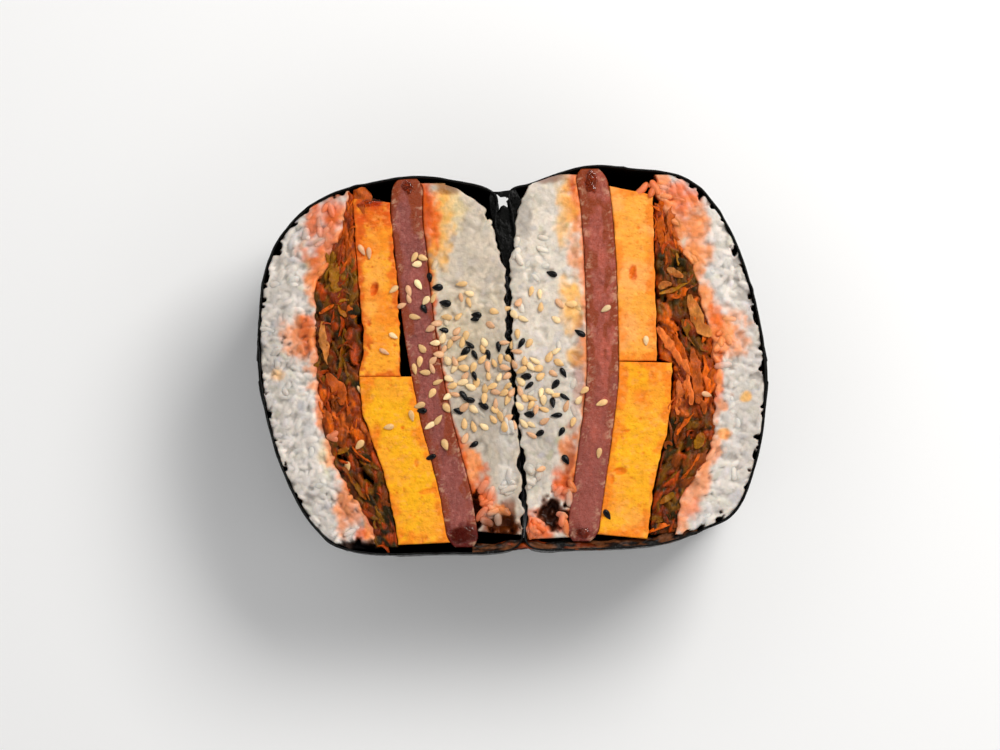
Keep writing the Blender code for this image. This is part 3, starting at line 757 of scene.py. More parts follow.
GRAIN = pod(GRAIN_RINGS, 10)
# Lengths, widths and heights of the loose grains.
GRAIN_SIZES = [(3.0, 4.8), (1.6, 2.1), (1.4, 1.9)]
# Sunken grains for each point of a bed's grid; loose grains on a layer, and their distance from
# its edges.
BED_GRAINS = 0.06
LOOSE_GRAINS = 16
GRAIN_MARGIN = 1.5
HOLLOW_DEPTH = 4.5


def rice_tints(points, name):
    """Rice colours with stains, and a fringe of colour where the kimchi or the meat touches it."""
    layer = LAYERS[name]
    tints = stained(points, RICE[name][0], RICE_STAINS_AND_SHADE[name], seed=20)
    fringe_side, reach, colour = FRINGES[name]
    x, y = points[:, 0], points[:, 1]
    away = layer.right(y) - x if fringe_side == "right" else x - layer.left(y)
    noise = field(points[:, :2], 2.4, 23, 3)
    tints = mixed(tints, colour, 0.75 * step(1.2 - away / reach + 0.8 * noise))
    return mixed(tints, "deep_orange", 0.6 * step(0.8 - away / FRINGE_EDGE + 0.8 * noise))


def grains(piece, name, spots, heights, draw):
    """Whole cooked grains at spots, kept clear of the wrap."""
    layer = LAYERS[name]
    shape, quads, tris = GRAIN
    count = len(spots)
    size = np.stack([draw.uniform(*limits, count) for limits in GRAIN_SIZES], -1)
    local = shape[None] * size[:, None]
    local[..., 1] += draw.normal(0, 0.05, count)[:, None] * local[..., 0] ** 2
    elsewhere = draw.uniform(0, 90, (count, 1, 3))
    local *= 1 + 0.09 * field(shape[None] * 6 + elsewhere, 2.2, 1)[..., None]
    heading, tilt = draw.uniform(0, 2 * np.pi, count), draw.normal(0, 0.25, count)
    placed = turned(local, heading, tilt, roll=draw.uniform(0, np.pi, count))
    centres = np.column_stack([spots, heights])
    flat = squeeze((placed + centres[:, None]).reshape(-1, 3), layer.side, GRAIN_CLEAR)
    tints = rice_tints(flat, name).reshape(count, -1, 3)
    own = rice_tints(centres, name)[:, None]
    shade = draw.normal(1.03, 0.05, count)[:, None, None]
    add_copies(piece, flat.reshape(count, -1, 3), quads, tris, (0.5 * tints + 0.5 * own) * shade)


def make_rice(name, seed):
    """A layer of rice: a bed of sunken grains with hollows at its edge, and loose grains on top."""
    _, bed_height, sink, knife_height, outline = RICE[name]
    hollows, hollow_shade = HOLLOWS.get(name, ((), "black"))
    layer = LAYERS[name]
    inner = "inner" in name
    draw = np.random.default_rng(seed)
    piece = Piece()

    def surface(x, y, rim):
        points = np.stack([x, y], -1)
        lie = 0.35 * field(points, 8, seed)
        height = CUT + bed_height + lie + 0.3 * field(points, 1.5, seed + 1, 2)
        # Painted shade: the bed between the grains is darker than the grains laid on it.
        bed = Bed(x, y, height, np.full((*x.shape, 3), 0.84))
        count = int(x.size * BED_GRAINS)
        xs, ys = layer.spots(count, draw)
        lies = 0.35 * field(np.stack([xs, ys], -1), 8, seed)
        for k in range(count):
            grey = abs(draw.normal(0, 0.11))
            tone = draw.normal(1.04, 0.05) - grey * np.array([1, 0.85, draw.normal(0.75, 0.3)])
            place = xs[k], ys[k], CUT + sink + lies[k] + draw.normal(0, 0.28)
            bed.lay(
                place, draw.uniform(0, np.pi), draw.uniform(1.3, 2.1), draw.uniform(0.6, 0.9),
                draw.uniform(0.95, 1.3), tone, tilt=draw.normal(0, 0.16), roll=draw.normal(0, 0.2),
                bend=draw.normal(0, 0.07))
        height, shade = bed.result()
        relief = height - softened(height, 10)
        height -= (
            0.4 + 0.6 * step(field(points, 5, seed + 9, 2) + (0.95 if inner else 0.5))) * relief
        # Painted shade in the creases between grains and painted light on their tops, for relief
        # smoothed away.
        shade = softened(shade, 2) * (1 + outline * np.clip(relief, -0.6, 0.3))[..., None]
        knife = CUT + knife_height + 0.3 * field(points, 9, 11)
        height = below(height, knife, 0.1) + 0.07 * field(points, 0.8, 5, 2)
        tints = rice_tints(points.reshape(-1, 2), name).reshape(*x.shape, 3)
        height -= rounding(rim, ROUNDED["rice"]) * (1 + 0.4 * field(points, 2.5, 7))
        # Painted shade: rice that lies well below the knife's cut is darker.
        below_knife_shade = step((knife - height - 0.25) / 1.6)
        cloud = 0.05 * field(points, 1.3, 9, 2) + 0.05 * field(points, 5, 8, 2)
        tints = tints * shade * (1 - 0.22 * below_knife_shade)[..., None] * (1 + cloud)[..., None]
        flat = np.column_stack([x.ravel(), y.ravel(), np.full(x.size, CUT - 1)])
        depth = depth_in(flat, layer.side)[0].reshape(x.shape) - SKIN
        bite = (1.7 * field(points, 1.7, seed + 4, 2) - 0.1).clip(0.05)
        nick = 0 if inner else step(1.5 - depth / bite)
        for hollow in hollows:
            a, b = oval(x, y, *hollow)
            edge = 1.5 - (a**2 + b**2) + field(points, 2.2, 3, 3)
            nick = np.maximum(nick, step(edge / 1.6))
        # Painted shade: the nicks at the wrap and the hollows turn brown and then their own dark
        # colour.
        tints = mixed(tints, "brown", 0.8 * step(nick * 2))
        tints = mixed(tints, hollow_shade, 0.97 * step(nick * 1.6 - 0.4))
        return height - HOLLOW_DEPTH * nick, tints

    def over_wrap(points):
        """The clearance of the top, which spills over the wrap along the seam."""
        x, y, _ = points.T
        spill = step((31 - y) / 2) * step((y + 44) / 3) * step((7 - np.abs(x)) / 2)
        return 0.3 - 0.65 * spill

    block(piece, name, SPACING["rice"], surface, over_wrap)
    xs, ys = layer.spots(LOOSE_GRAINS, draw)
    room = (xs > layer.left(ys) + GRAIN_MARGIN) & (xs < layer.right(ys) - GRAIN_MARGIN)
    for hollow in hollows:
        a, b = oval(xs, ys, *hollow)
        room &= a**2 + b**2 > 2.6
    spots = np.stack([xs, ys], -1)[room]
    grains(piece, name, spots, CUT - 0.75 + draw.normal(0, 0.15, len(spots)), draw)
    for x, y, spread_x, spread_y, height, count in HEAPS[name]:
        spots = draw.normal((x, y), (spread_x, spread_y), (count, 2))
        grains(piece, name, spots, CUT + height + draw.normal(0, 0.3, count), draw)
    return piece.build(name + "_look", rice_look, [name])


# Eggs: colours of the base, the deeper patches and the rim; stains as on the rice; torn places as
# x, y, half-width, half-length, turn in radians, depth; seed.
EGGS = {
    "egg_upper_left": (
        "egg", "egg_rim", "egg_deep",
        [
            (-35, 18, 3, 12, "egg_pale", 0.4), (-38.8, 22, 1.8, 18, "egg_deep", 0.75),
            (-34.5, 38.8, 7, 5.6, "egg_deep", 1.0), (-34.5, 41, 6, 2.4, "glaze", 0.5)],
        [
            (-34.6, 17.6, 0.8, 1.5, -0.3, 1.3), (-36.0, 9.0, 0.5, 0.7, 0.2, 0.5),
            (-36, 3, 0.4, 0.8, 0.5, 0.4)],
        31,
    ),
    "egg_lower_left": (
        "egg_yellow", "egg", "egg_rim",
        [
            (-24, -28, 4, 12, "egg_yellow", 0.6), (-30, -8, 6, 3, "egg", 0.7),
            (-17.5, -41, 2.4, 5, "egg_rim", 0.8), (-37.0, -9, 2.4, 4, "egg_deep", 0.5),
            (-34.0, -19, 1.6, 3, "egg_deep", 0.5), (-30.4, -38, 2.2, 6, "egg_rim", 0.6)],
        [
            (-27.5, -17.2, 0.5, 0.4, 0, 0.4), (-21, -33, 2.5, 0.7, 0.2, 0.35),
            (-24, -26, 0.6, 1.2, 0.1, 0.25)],
        32,
    ),
    "egg_upper_right": (
        "egg_pale", "egg", "egg_rim",
        [
            (30.2, 21.5, 0.9, 2.2, "egg_deep", 0.9), (34.5, 29, 1.4, 3.0, "egg_deep", 0.6),
            (30, 0.5, 6, 1.6, "egg_rim", 0.5), (35.4, 16, 1.6, 16, "egg_rim", 0.55)],
        [(30.0, 21.8, 0.5, 1.6, -0.4, 0.7), (31.5, 33, 0.5, 0.5, 0, 0.3)], 33,
    ),
    "egg_lower_right": (
        "egg", "egg_yellow", "egg_rim",
        [
            (29, -23, 5, 9, "egg_yellow", 0.8), (28, -41, 6, 4, "egg_pale", 0.4),
            (31, -4.5, 9, 7.0, "egg_rim", 0.85), (38.4, -16, 1.6, 14, "egg_rim", 0.6),
            (23.4, -26, 2.2, 18, "egg_rim", 0.6), (28, -43.4, 7, 2.4, "egg_rim", 0.6)],
        [
            (26.8, -28.0, 1.5, 0.8, 0.1, 0.9), (28.4, -18.0, 0.9, 0.35, 0.2, 0.45),
            (24.6, -30, 0.7, 1.2, 0, 0.6)],
        34,
    ),
}


# Pits for each point of an egg's grid.
EGG_PITS = 0.011


def make_egg(name):
    """A piece of rolled egg, with fine streaks, pits and torn places."""
    base, deep, rim_colour, stains, tears, seed = EGGS[name]
    layer = LAYERS[name]
    draw = np.random.default_rng(seed)
    piece = Piece()

    def surface(x, y, rim):
        points = np.stack([x, y], -1)
        streaks = field(points * (0.35, 1), 0.75, seed + 1, 2)
        height = CUT + 0.05 + 0.3 * field(points, 7, seed) + 0.1 * field(points, 1.8, seed + 1, 2)
        height += 0.09 * streaks
        pitted = np.zeros(x.shape)
        for px, py in zip(*layer.spots(int(x.size * EGG_PITS), draw)):
            wide, depth = draw.uniform(0.15, 0.36), draw.uniform(0.04, 0.22)
            away = ((x - px) / wide / 1.2) ** 2 + ((y - py) / wide) ** 2
            pitted = np.maximum(pitted, depth * np.exp(-(away**2)))
        for *place, depth in tears:
            a, b = oval(x, y, *place)
            pitted = np.maximum(pitted, depth * np.exp(-((a * a + b * b) ** 2)))
        height -= pitted + rounding(rim, ROUNDED["egg"]) * (1 + 0.5 * field(points, 2.5, seed + 2))
        tints = stained(points.reshape(-1, 2), base, stains, seed).reshape(*x.shape, 3)
        tints = mixed(tints, deep, 0.65 * step(0.35 + 1.3 * field(points, 6, seed, 4)))
        edge = 0.9 - rim / 2.0 + 1.3 * field(points, 2.8, seed + 1, 3)
        tints = mixed(tints, rim_colour, 0.75 * step(edge))
        # Painted shade: pits and torn places are darkened towards the rim colour, the more the
        # deeper they are.
        tints = mixed(tints, rim_colour, 0.7 * step(pitted * 4))
        pale = 2.2 * field(points * (0.7, 1), 0.8, seed + 6, 2) - 0.5
        tints = mixed(tints, "egg_pale", 0.35 * step(pale))
        cloud = 0.08 * streaks + 0.05 * field(points * (0.8, 1), 0.5, seed + 2)
        return height, tints * (1 + cloud)[..., None]

    block(piece, name, SPACING["egg"], surface)
    return piece.build(name + "_look", egg_look, [name])


# Meats: base colour; coloured ends as y of the end, y of the start, colour, strength; width of the
# browned band at the left and at the right edge; seed.
MEATS = {
    "meat_left": ("meat", [(45.5, 37.0, "crust", 0.95), (-44, -40, "glaze", 1.0)], 1.2, 1.6, 41),
    "meat_right": (
        "meat_right",
        [(48, 38.0, "crust", 0.95), (-34, 0, "meat", 0.75), (-45.5, -41.0, "glaze", 0.7)], 2.0, 2.6,
        42,
    ),
}


def make_meat(name):
    """A slice of luncheon meat, browned along its edges and at its ends."""
    base, ends, band_left, band_right, seed = MEATS[name]
    layer = LAYERS[name]
    piece = Piece()

    def surface(x, y, rim):
        points = np.stack([x, y], -1)
        fine = field(points, 0.75, seed + 3, 2)
        height = CUT - 0.05 + 0.15 * field(points, 9, seed) + 0.14 * fine
        height -= rounding(rim, ROUNDED["meat"])
        streaks = field(points * (1, 0.2), 0.7, seed + 9, 2)
        cloud = 0.14 * field(points, 3.5, seed, 3) + 0.1 * fine + 0.12 * streaks
        tints = np.tile(linear(base), (*x.shape, 1)) * (1 + cloud)[..., None]
        dark = field(points * (1, 0.6), 1.6, seed + 5, 3) * 1.6
        tints = mixed(tints, "meat_dark", 0.3 * step(dark))
        tints = mixed(tints, "meat_pale", 0.35 * step(field(points, 0.6, seed + 7, 2) * 3 - 1.2))
        noise = field(points * (1, 0.5), 2.2, seed + 2, 3)
        from_left, from_right = x - layer.left(y), layer.right(y) - x
        for away, band in ((from_left, band_left), (from_right, band_right)):
            edge = (band * (1 + 1.4 * noise) - away) / 1.6 + 0.5
            tints = mixed(tints, "crust", 0.85 * step(edge))
        for end, start, colour, strength in ends:
            edge = (y - start) / (end - start) * 1.4 + 0.8 * noise
            tints = mixed(tints, colour, strength * step(edge))
        # Pale specks near the sides: partly fat in the meat, partly painted glints.
        near_side = step(1.1 - np.minimum(from_left, from_right) / 2.4)
        warped = points + 1.4 * np.stack([fine, noise], -1)
        specks = field(warped, 0.9, seed + 11, 3) * 4 - 1.4
        return height, mixed(tints, "speck_and_glint", 0.34 * near_side * step(specks))

    block(piece, name, SPACING["meat"], surface)
    return piece.build(name + "_look", meat_look, [name])


def ribbon(middle, heading, length, width, thickness, roll, bend, draw, ripple, points, sides):
    """A wavy strip of leaf: rings of points along a curving path."""
    share = np.linspace(0, 1, points)
    sizes = (3.0, 3.0, 4.0, 1.6)
    noise = [line_noise(share * length + 40 * draw.random(), size, 2) for size in sizes]
    angle = heading + bend * (share - 0.5) + ripple * 0.5 * noise[0]
    way = np.stack([np.cos(angle), np.sin(angle), np.zeros(points)], -1)
    path = np.cumsum(way * length / (points - 1), axis=0)
    path += np.asarray(middle) - path[points // 2]
    path[:, 2] += ripple * noise[1]
    side = np.stack([-np.sin(angle), np.cos(angle), np.zeros(points)], -1)
    lean = (roll + ripple * noise[2])[:, None]
    across = side * np.cos(lean) + np.array([0, 0, 1]) * np.sin(lean)
    up = np.array([0, 0, 1]) * np.cos(lean) - side * np.sin(lean)
    taper = np.sqrt(np.clip(np.sin(np.pi * (0.03 + 0.94 * share)), 0, 1))
    turn = 2 * np.pi * np.arange(sides) / sides
    half = width / 2 * taper * (1 + 0.35 * noise[3])
    wide = np.sign(np.cos(turn)) * np.abs(np.cos(turn)) ** 0.7
    ring = across[:, None] * (half[:, None] * wide)[..., None]
    ring = ring + up[:, None] * (thickness / 2 * taper[:, None] * np.sin(turn))[..., None]
    cup = 0.12 * width * wide**2 + 0.2 * ripple * field(ring + path[:, None] * 2, 1.1, 17, 2)
    return path[:, None] + ring + up[:, None] * cup[..., None]


def add_ribbon(piece, rings, colour, draw, side):
    """Adds a strip with closed ends, kept in the wrap, with painted shade that darkens it the
    deeper it lies.
    """
    rows, columns = rings.shape[:2]
    points = np.concatenate([rings.reshape(-1, 3), rings[[0, -1]].mean(axis=1)])
    points[:, 2] = below(points[:, 2], CUT + 0.35, 0.12)
    points = squeeze(points, side, CLEAR)
    streak = field(points * (1, 0.5, 1), 0.9, int(draw.integers(90)), 2)
    shade = draw.normal(1, 0.08) + 0.35 * streak
    tints = np.tile(linear(colour), (len(points), 1)) * shade[:, None]
    tints = mixed(tints, "rust", 0.4 * step(field(points, 1.8, 55) * 1.5))
    # Painted shade: darker the further below the cut a point lies.
    tints = tints * (1 - np.clip((CUT - 0.8 - points[:, 2]) / 3.5, 0, 0.85))[:, None]
    head = fan(0, columns, len(points) - 2, inside_out=True)
    tail = fan((rows - 1) * columns, columns, len(points) - 1)
    piece.add(points, tints, grid(rows, columns, closed=True), head, tail)


# Strips that stand out: x, y, heading in degrees, length, width, thickness, roll in degrees,
# colour, height over the cut plane.
STRIPS = {
    "kimchi_left": [
        (-38.6, 39.4, 60, 8, 5.4, 0.9, 8, "onion", -0.5),
        (-41.8, 31.0, 95, 9, 1.6, 0.8, 60, "amber", -0.6),
        (-43.2, 27.0, 80, 7, 1.4, 0.8, 60, "rust", -0.5),
        (-44.6, 21.5, 98, 12, 3.4, 0.6, 25, "leaf", -0.7),
        (-41.2, 25.0, 60, 7, 1.2, 0.6, 50, "amber", -0.6),
        (-46.4, 12.6, 30, 4.5, 1.2, 0.6, 40, "amber", -0.8),
        (-43.0, 12.2, 120, 4.0, 1.6, 0.6, 30, "leaf", -0.7),
        (-40.0, 12.2, 70, 5.0, 3.0, 0.6, 20, "onion", -1.0),
        (-47.2, 4.2, 93, 11, 2.1, 1.0, 15, "stem", -0.5),
        (-42.5, 2.0, 85, 12, 2.8, 0.6, 40, "olive", -0.9),
        (-43.8, -7.2, 118, 9, 3.4, 1.0, 20, "onion", -0.4),
        (-46.2, -9.5, 100, 10, 1.6, 0.6, 60, "rust", -0.5),
        (-41.0, -12.5, 110, 8, 1.4, 0.6, 50, "amber", -0.5),
        (-39.6, -16.8, 60, 4, 1.4, 0.6, 30, "amber", -0.6),
        (-42.4, -22.8, 30, 3.4, 1.8, 1.0, 10, "leaf", -0.6),
        (-36.5, -25.0, 140, 8, 2.0, 0.6, 30, "olive", -0.7),
        (-39.6, -31.0, 122, 10, 1.8, 0.6, 45, "olive", -0.8),
        (-33.8, -38.6, 110, 6, 2.0, 0.6, 20, "leaf", -0.7),
        (-35.4, -35.6, 120, 5, 1.8, 0.6, 35, "leaf", -0.9),
        (-38.0, -24.0, 150, 6, 1.2, 0.6, 50, "amber", -0.6),
    ],
    "kimchi_right": [
        (37.0, 35.0, 92, 10, 2.8, 0.7, 25, "amber", -0.4),
        (39.4, 34.0, 80, 10, 2.6, 0.7, 30, "onion", -0.5),
        (37.4, 30.5, 100, 8, 1.6, 0.7, 30, "amber", -0.6),
        (41.2, 26.6, 92, 6, 0.9, 0.6, 60, "leaf", -0.7),
        (38.8, 25.0, 80, 6, 1.8, 0.6, 50, "brown", -0.7),
        (40.8, 21.6, -30, 4.6, 1.8, 0.8, 20, "stem", -0.3),
        (38.2, 18.8, 15, 3.6, 1.8, 0.8, 15, "stem", -0.6),
        (41.2, 17.8, 22, 9, 1.4, 0.6, 30, "leaf", -0.3),
        (42.2, 17.0, 30, 6, 2.6, 0.6, 15, "amber", -0.7),
        (46.4, 10.4, -68, 12, 3.4, 0.9, 15, "stem", -0.3),
        (44.4, 6.6, -65, 8, 2.4, 0.6, 30, "olive", -0.9),
        (47.0, 4.0, -50, 6, 2.0, 0.6, 30, "olive", -0.8),
        (39.8, 3.0, -60, 12, 2.4, 0.9, 20, "cabbage", -0.3),
        (42.6, 0.8, -64, 12, 2.2, 0.9, 20, "amber", -0.5),
        (43.4, -5.4, -80, 13, 2.8, 1.0, 15, "cabbage", -0.4),
        (46.2, -4.4, -84, 14, 2.8, 1.0, 15, "onion", -0.4),
        (48.6, -5.0, -88, 12, 2.0, 0.8, 25, "amber", -0.5),
        (41.8, -9.6, -95, 9, 2.0, 0.8, 25, "cabbage", -0.5),
        (47.6, -11.0, -60, 6, 1.6, 0.6, 40, "onion", -0.4),
        (46.8, -20.4, 70, 4.2, 2.8, 0.8, 15, "leaf", -0.4),
        (43.0, -16.0, 50, 7, 1.4, 0.6, 40, "amber", -0.5),
        (40.8, -19.0, 80, 7, 1.6, 0.6, 40, "brown", -0.5),
        (44.8, -27.0, 60, 8, 1.4, 0.6, 40, "amber", -0.6),
        (38.6, -34.8, 40, 4.4, 1.8, 0.7, 20, "leaf", -0.5),
        (36.6, -42.0, 15, 6, 1.4, 0.6, 30, "amber", -0.6),
        (39.5, -30.5, 65, 6, 1.4, 0.6, 40, "olive", -0.6),
    ],
}
# Sunken places between the strips, darkened with painted shade: x, y, half-width, half-length, turn
# in degrees.
DARK = {
    "kimchi_left": [
        (-35.8, -30.2, 1.7, 4.2, 35), (-38.6, 10.2, 1.2, 2.4, 0), (-48.0, 16.0, 0.8, 3.0, 0),
    ],
    "kimchi_right": [
        (42.4, 24.4, 2.0, 3.4, 20), (37.4, 15.2, 1.4, 1.6, 0), (42.4, -24.6, 1.5, 5.2, -30),
        (40.6, -6.5, 0.7, 6.0, 0), (46.0, 14.8, 1.0, 1.4, 0), (36.6, 28.0, 0.6, 3.0, 0),
    ],
}
# Colours of the many small shreds, each set down to a y.
FILL = {
    "kimchi_left": [
        (26, ["onion", "rust", "amber"]), (14, ["olive", "rust", "leaf"]),
        (-6, ["olive", "brown", "dark_olive", "rust"]), (-20, ["brown", "onion", "rust", "amber"]),
        (-60, ["brown", "olive", "dark_olive", "rust"]),
    ],
    "kimchi_right": [
        (27, ["amber", "rust", "onion"]), (10, ["brown", "olive", "amber", "dark_olive"]),
        (2, ["olive", "rust", "amber"]), (-14, ["amber", "rust", "onion"]),
        (-60, ["brown", "rust", "olive", "dark_olive"]),
    ],
}


def darkness(name, x, y):
    """How deep spots lie in the dark places of a kimchi layer, from 0 to 1."""
    most = np.zeros(np.shape(x))
    for *place, turn in DARK[name]:
        away = np.hypot(*oval(x, y, *place, math.radians(turn)))
        most = np.maximum(most, step(1.4 - away))
    return most


# Depths under the cut plane of the kimchi's bed and, below it, of its dark places.
KIMCHI_DEPTH = 3.2
DARK_DEPTH = 3.5
# Small shreds for each point of the grid, the depth of the first and how much higher the last lie.
SHREDS = 0.07
SHRED_DEPTH = 2.8
SHRED_RISE = 2.0
SMALL_STRIPS = 60


def make_kimchi(name, seed):
    """A layer of kimchi: a bed of shreds with dark places, and strips of leaf on it."""
    layer = LAYERS[name]
    draw = np.random.default_rng(seed)
    piece = Piece()

    def shred_colour(y):
        """A colour drawn from those of the shreds at y."""
        colours = next(choice for limit, choice in FILL[name] if y > limit)
        return colours[int(draw.integers(len(colours)))]

    def surface(x, y, rim):
        points = np.stack([x, y], -1)
        height = CUT - KIMCHI_DEPTH + 0.6 * field(points, 2.2, seed, 2)
        height -= DARK_DEPTH * darkness(name, x, y)
        # Painted shade: the bed under the shreds is dark brown.
        bed = Bed(x, y, height, np.tile(linear("dark_brown"), (*x.shape, 1)))
        count = int(x.size * SHREDS)
        xs, ys = layer.spots(count, draw)
        sunk = darkness(name, xs, ys)
        for k in range(count):
            if sunk[k] > draw.uniform(0.3, 1.1):
                continue
            rise = (k / count) ** 0.7
            place = xs[k], ys[k], CUT - SHRED_DEPTH + SHRED_RISE * rise + draw.normal(0, 0.22)
            heading = float(layer.heading(ys[k])) + draw.normal(0, 0.5)
            size = draw.uniform(0.8, 3.2), draw.uniform(0.3, 1.2), draw.uniform(0.25, 0.6)
            # Painted shade: the lower a shred lies, the darker it is.
            tone = linear(shred_colour(ys[k])) * draw.uniform(0.4, 1.25) * (0.5 + 0.5 * rise)
            bed.lay(
                place, heading, *size, tone, tilt=draw.normal(0, 0.12), roll=draw.normal(0, 0.4),
                bend=draw.normal(0, 0.08), veins=0.45, seed=int(draw.integers(90)))
        height, tints = bed.result()
        wet = step(0.5 + 1.4 * field(points, 4, seed + 3, 2))
        height += 0.6 * wet * (softened(height, 6) - height)
        tints = softened(tints, 2)
        height = below(height, CUT + 0.2, 0.15) - rounding(rim, ROUNDED["kimchi"])
        fibres = field(points * (2.2, 0.7), 0.8, seed + 4, 3)
        tints = tints * (1 + 0.3 * fibres)[..., None]
        # Painted shade: spots well below the cut fade to black.
        low = step((CUT - 1.3 - height) / 2.2)
        return height + 0.09 * fibres, mixed(tints, "black", 0.85 * low)

    block(piece, name, SPACING["kimchi"], surface)
    for x, y in zip(*layer.spots(SMALL_STRIPS, draw)):
        if darkness(name, x, y) < 0.3:
            place = x, y, CUT - draw.uniform(0.4, 1.2)
            heading = float(layer.heading(y)) + draw.normal(0, 0.7)
            size = draw.uniform(2.5, 5.5), draw.uniform(0.5, 1.3), draw.uniform(0.3, 0.5)
            rings = ribbon(
                place, heading, *size, roll=draw.uniform(-1.2, 1.2), bend=draw.normal(0, 1.8),
                draw=draw, ripple=0.7, points=18, sides=8)
            add_ribbon(piece, rings, shred_colour(y), draw, layer.side)
    for x, y, heading, length, width, thickness, roll, colour, height in STRIPS[name]:
        rings = ribbon(
            (x, y, CUT + height), math.radians(heading), length, width, thickness,
            roll=math.radians(roll) * draw.choice([-1, 1]), bend=draw.normal(0, 0.4), draw=draw,
            ripple=0.6, points=36, sides=14)
        add_ribbon(piece, rings, colour, draw, layer.side)
    return piece.build(name + "_look", kimchi_look, [name])


# Heights of the wrap's rings, and how far its top is folded down along the seam.
NORI_ROWS = [0, 0.35, 0.7, 1.5, 2.6, 4.5, *np.linspace(7, 46.0, 30), 47.0, 48.0]
SEAM_DROP = 1.9


def nori_surface(side, skin, seed):
    """Grid of points on a face of the wrap that lies `skin` in from its outer one."""
    ring = RINGS[side]
    ways = inward(ring)
    to_middle = ring.mean(axis=0) - ring
    to_middle /= np.linalg.norm(to_middle, axis=1, keepdims=True)
    along = np.concatenate([[0], np.cumsum(np.linalg.norm(np.diff(ring, axis=0), axis=1))])
    x, y = ring.T
    in_seam = step((6 - np.abs(x)) / 2) * step((33 - y) / 3) * step((y + 44) / 3)
    rows = []
    for height in NORI_ROWS:
        flatness = max(0.0, 1.0 - height / 7)
        spot = np.column_stack([ring * 0.6, np.full(len(ring), height * 0.35)])
        wrinkle = 0.12 * field(spot, 3.0, seed) + 0.06 * field(spot, 1.1, seed + 1)
        crease = 0.2 * np.maximum(0, 1 - 9 * np.abs(field(spot, 7.0, seed + 2)))
        push = (wrinkle + crease) * min(1, height / 3) * (1 - 0.8 * in_seam)
        within = skin * (1 - 0.5 * flatness) - push[:, None]
        flat = ring + to_middle * inset_at(height) + ways * within
        flat[:, 0] *= swell_at(height)
        lift = height + skin * flatness - SEAM_DROP * in_seam * step((height - 40) / 8)
        if height == CUT:
            lift = lift + 0.25 * line_noise(along, 2.6, seed + 3)
        rows.append(np.column_stack([flat, np.broadcast_to(lift, len(ring))]))
    return np.array(rows)


CAP_SHARES = (1, 0.86, 0.7, 0.52, 0.34, 0.16)


def add_cap(piece, ring, tint, upward):
    """Closes a ring of points with rings that shrink to its middle."""
    middle = ring.mean(axis=0)
    rows = np.array([middle + (ring - middle) * share for share in CAP_SHARES])
    rows[1:, :, 2] += 0.12 * np.abs(field(rows[1:], 6, 9, 2))
    count = ring.shape[0]
    points = np.concatenate([rows.reshape(-1, 3), [middle + (0, 0, 0.1)]])
    quads = grid(len(rows), count, closed=True)
    tip = fan((len(rows) - 1) * count, count, len(points) - 1, inside_out=not upward)
    piece.add(points, tint, quads if upward else quads[:, ::-1], tip)


def make_nori(side, seed):
    """The wrap of a half: a thin cup, with the folds and torn edges that belong to it."""
    piece = Piece()
    outer, inner = nori_surface(side, 0.0, seed), nori_surface(side, SKIN, seed)
    rows, columns = outer.shape[:2]
    black = linear("nori")
    both = np.concatenate([outer, inner[::-1]])
    cloud = field(both.reshape(-1, 3), 9, seed, 2)
    piece.add(both, black * (1 + 0.5 * cloud)[:, None], grid(rows * 2, columns, closed=True))
    add_cap(piece, outer[0], black, False)
    add_cap(piece, inner[0], black, True)
    add_flap(piece, side, seed)
    if side == "left":
        add_torn_sheet(piece)
    else:
        add_lip(piece)
    return piece.build("nori_%s_look" % side, nori_look, ["nori_" + side])


# Half the flap's width at the floor, and what is left of it at its tip.
FLAP_REACH = 41
FLAP_TIP = 2.0


def add_flap(piece, side, seed):
    """The folded-over corner of the sheet on a half's outer face: a triangle, tip at the cut."""
    rows, columns = 40, 34
    end = -1 if side == "left" else 1
    across = np.linspace(-1, 1, columns)
    sheet = np.empty((rows, columns, 3))
    for r, height in enumerate(np.linspace(1.5, CUT - 0.8, rows)):
        y = across * (FLAP_REACH * (1 - height / CUT) + FLAP_TIP) - 3
        base = np.column_stack([wall(side, end, 0)(y), y, np.full(columns, height)])
        sheet[r] = squeeze(base, side, 0)
        sheet[r, :, 0] *= swell_at(height)
    raised = SHEET_THICKNESS + 0.2 * step(np.abs(across) * 8 - 7)
    sheet[..., 0] += end * (raised + 0.1 * field(sheet, 5, seed + 5))
    if end < 0:
        sheet = sheet[:, ::-1]
    points, quads = shell(sheet, SHEET_THICKNESS)
    piece.add(points, linear("nori") * (1 + 0.5 * field(points, 8, seed))[:, None], quads)


# The star-shaped hole under the notch, and the outline of the torn sheet around it.
STAR = [
    (-4.0, 41.6), (-3.0, 40.8), (-1.9, 40.9), (-0.5, 40.8), (-1.5, 39.8), (-1.1, 38.2),
    (-2.1, 38.8), (-2.9, 38.5), (-3.5, 37.4), (-4.4, 36.4), (-4.0, 38.4), (-4.4, 39.4),
    (-3.8, 40.3),
]
TORN_OUTLINE = [
    (-5.4, 42.3), (-3.6, 42.2), (-1.4, 42.5), (0.8, 42.9), (2.2, 40), (2.2, 36), (1.6, 32),
    (0.9, 27), (0.2, 21), (-1.5, 21), (-2.8, 27), (-3.9, 31), (-4.9, 34.5), (-5.6, 38),
    (-5.8, 40.5),
]
# Both rings are joined from their points nearest to this one.
TORN_START = (-3.9, 42)


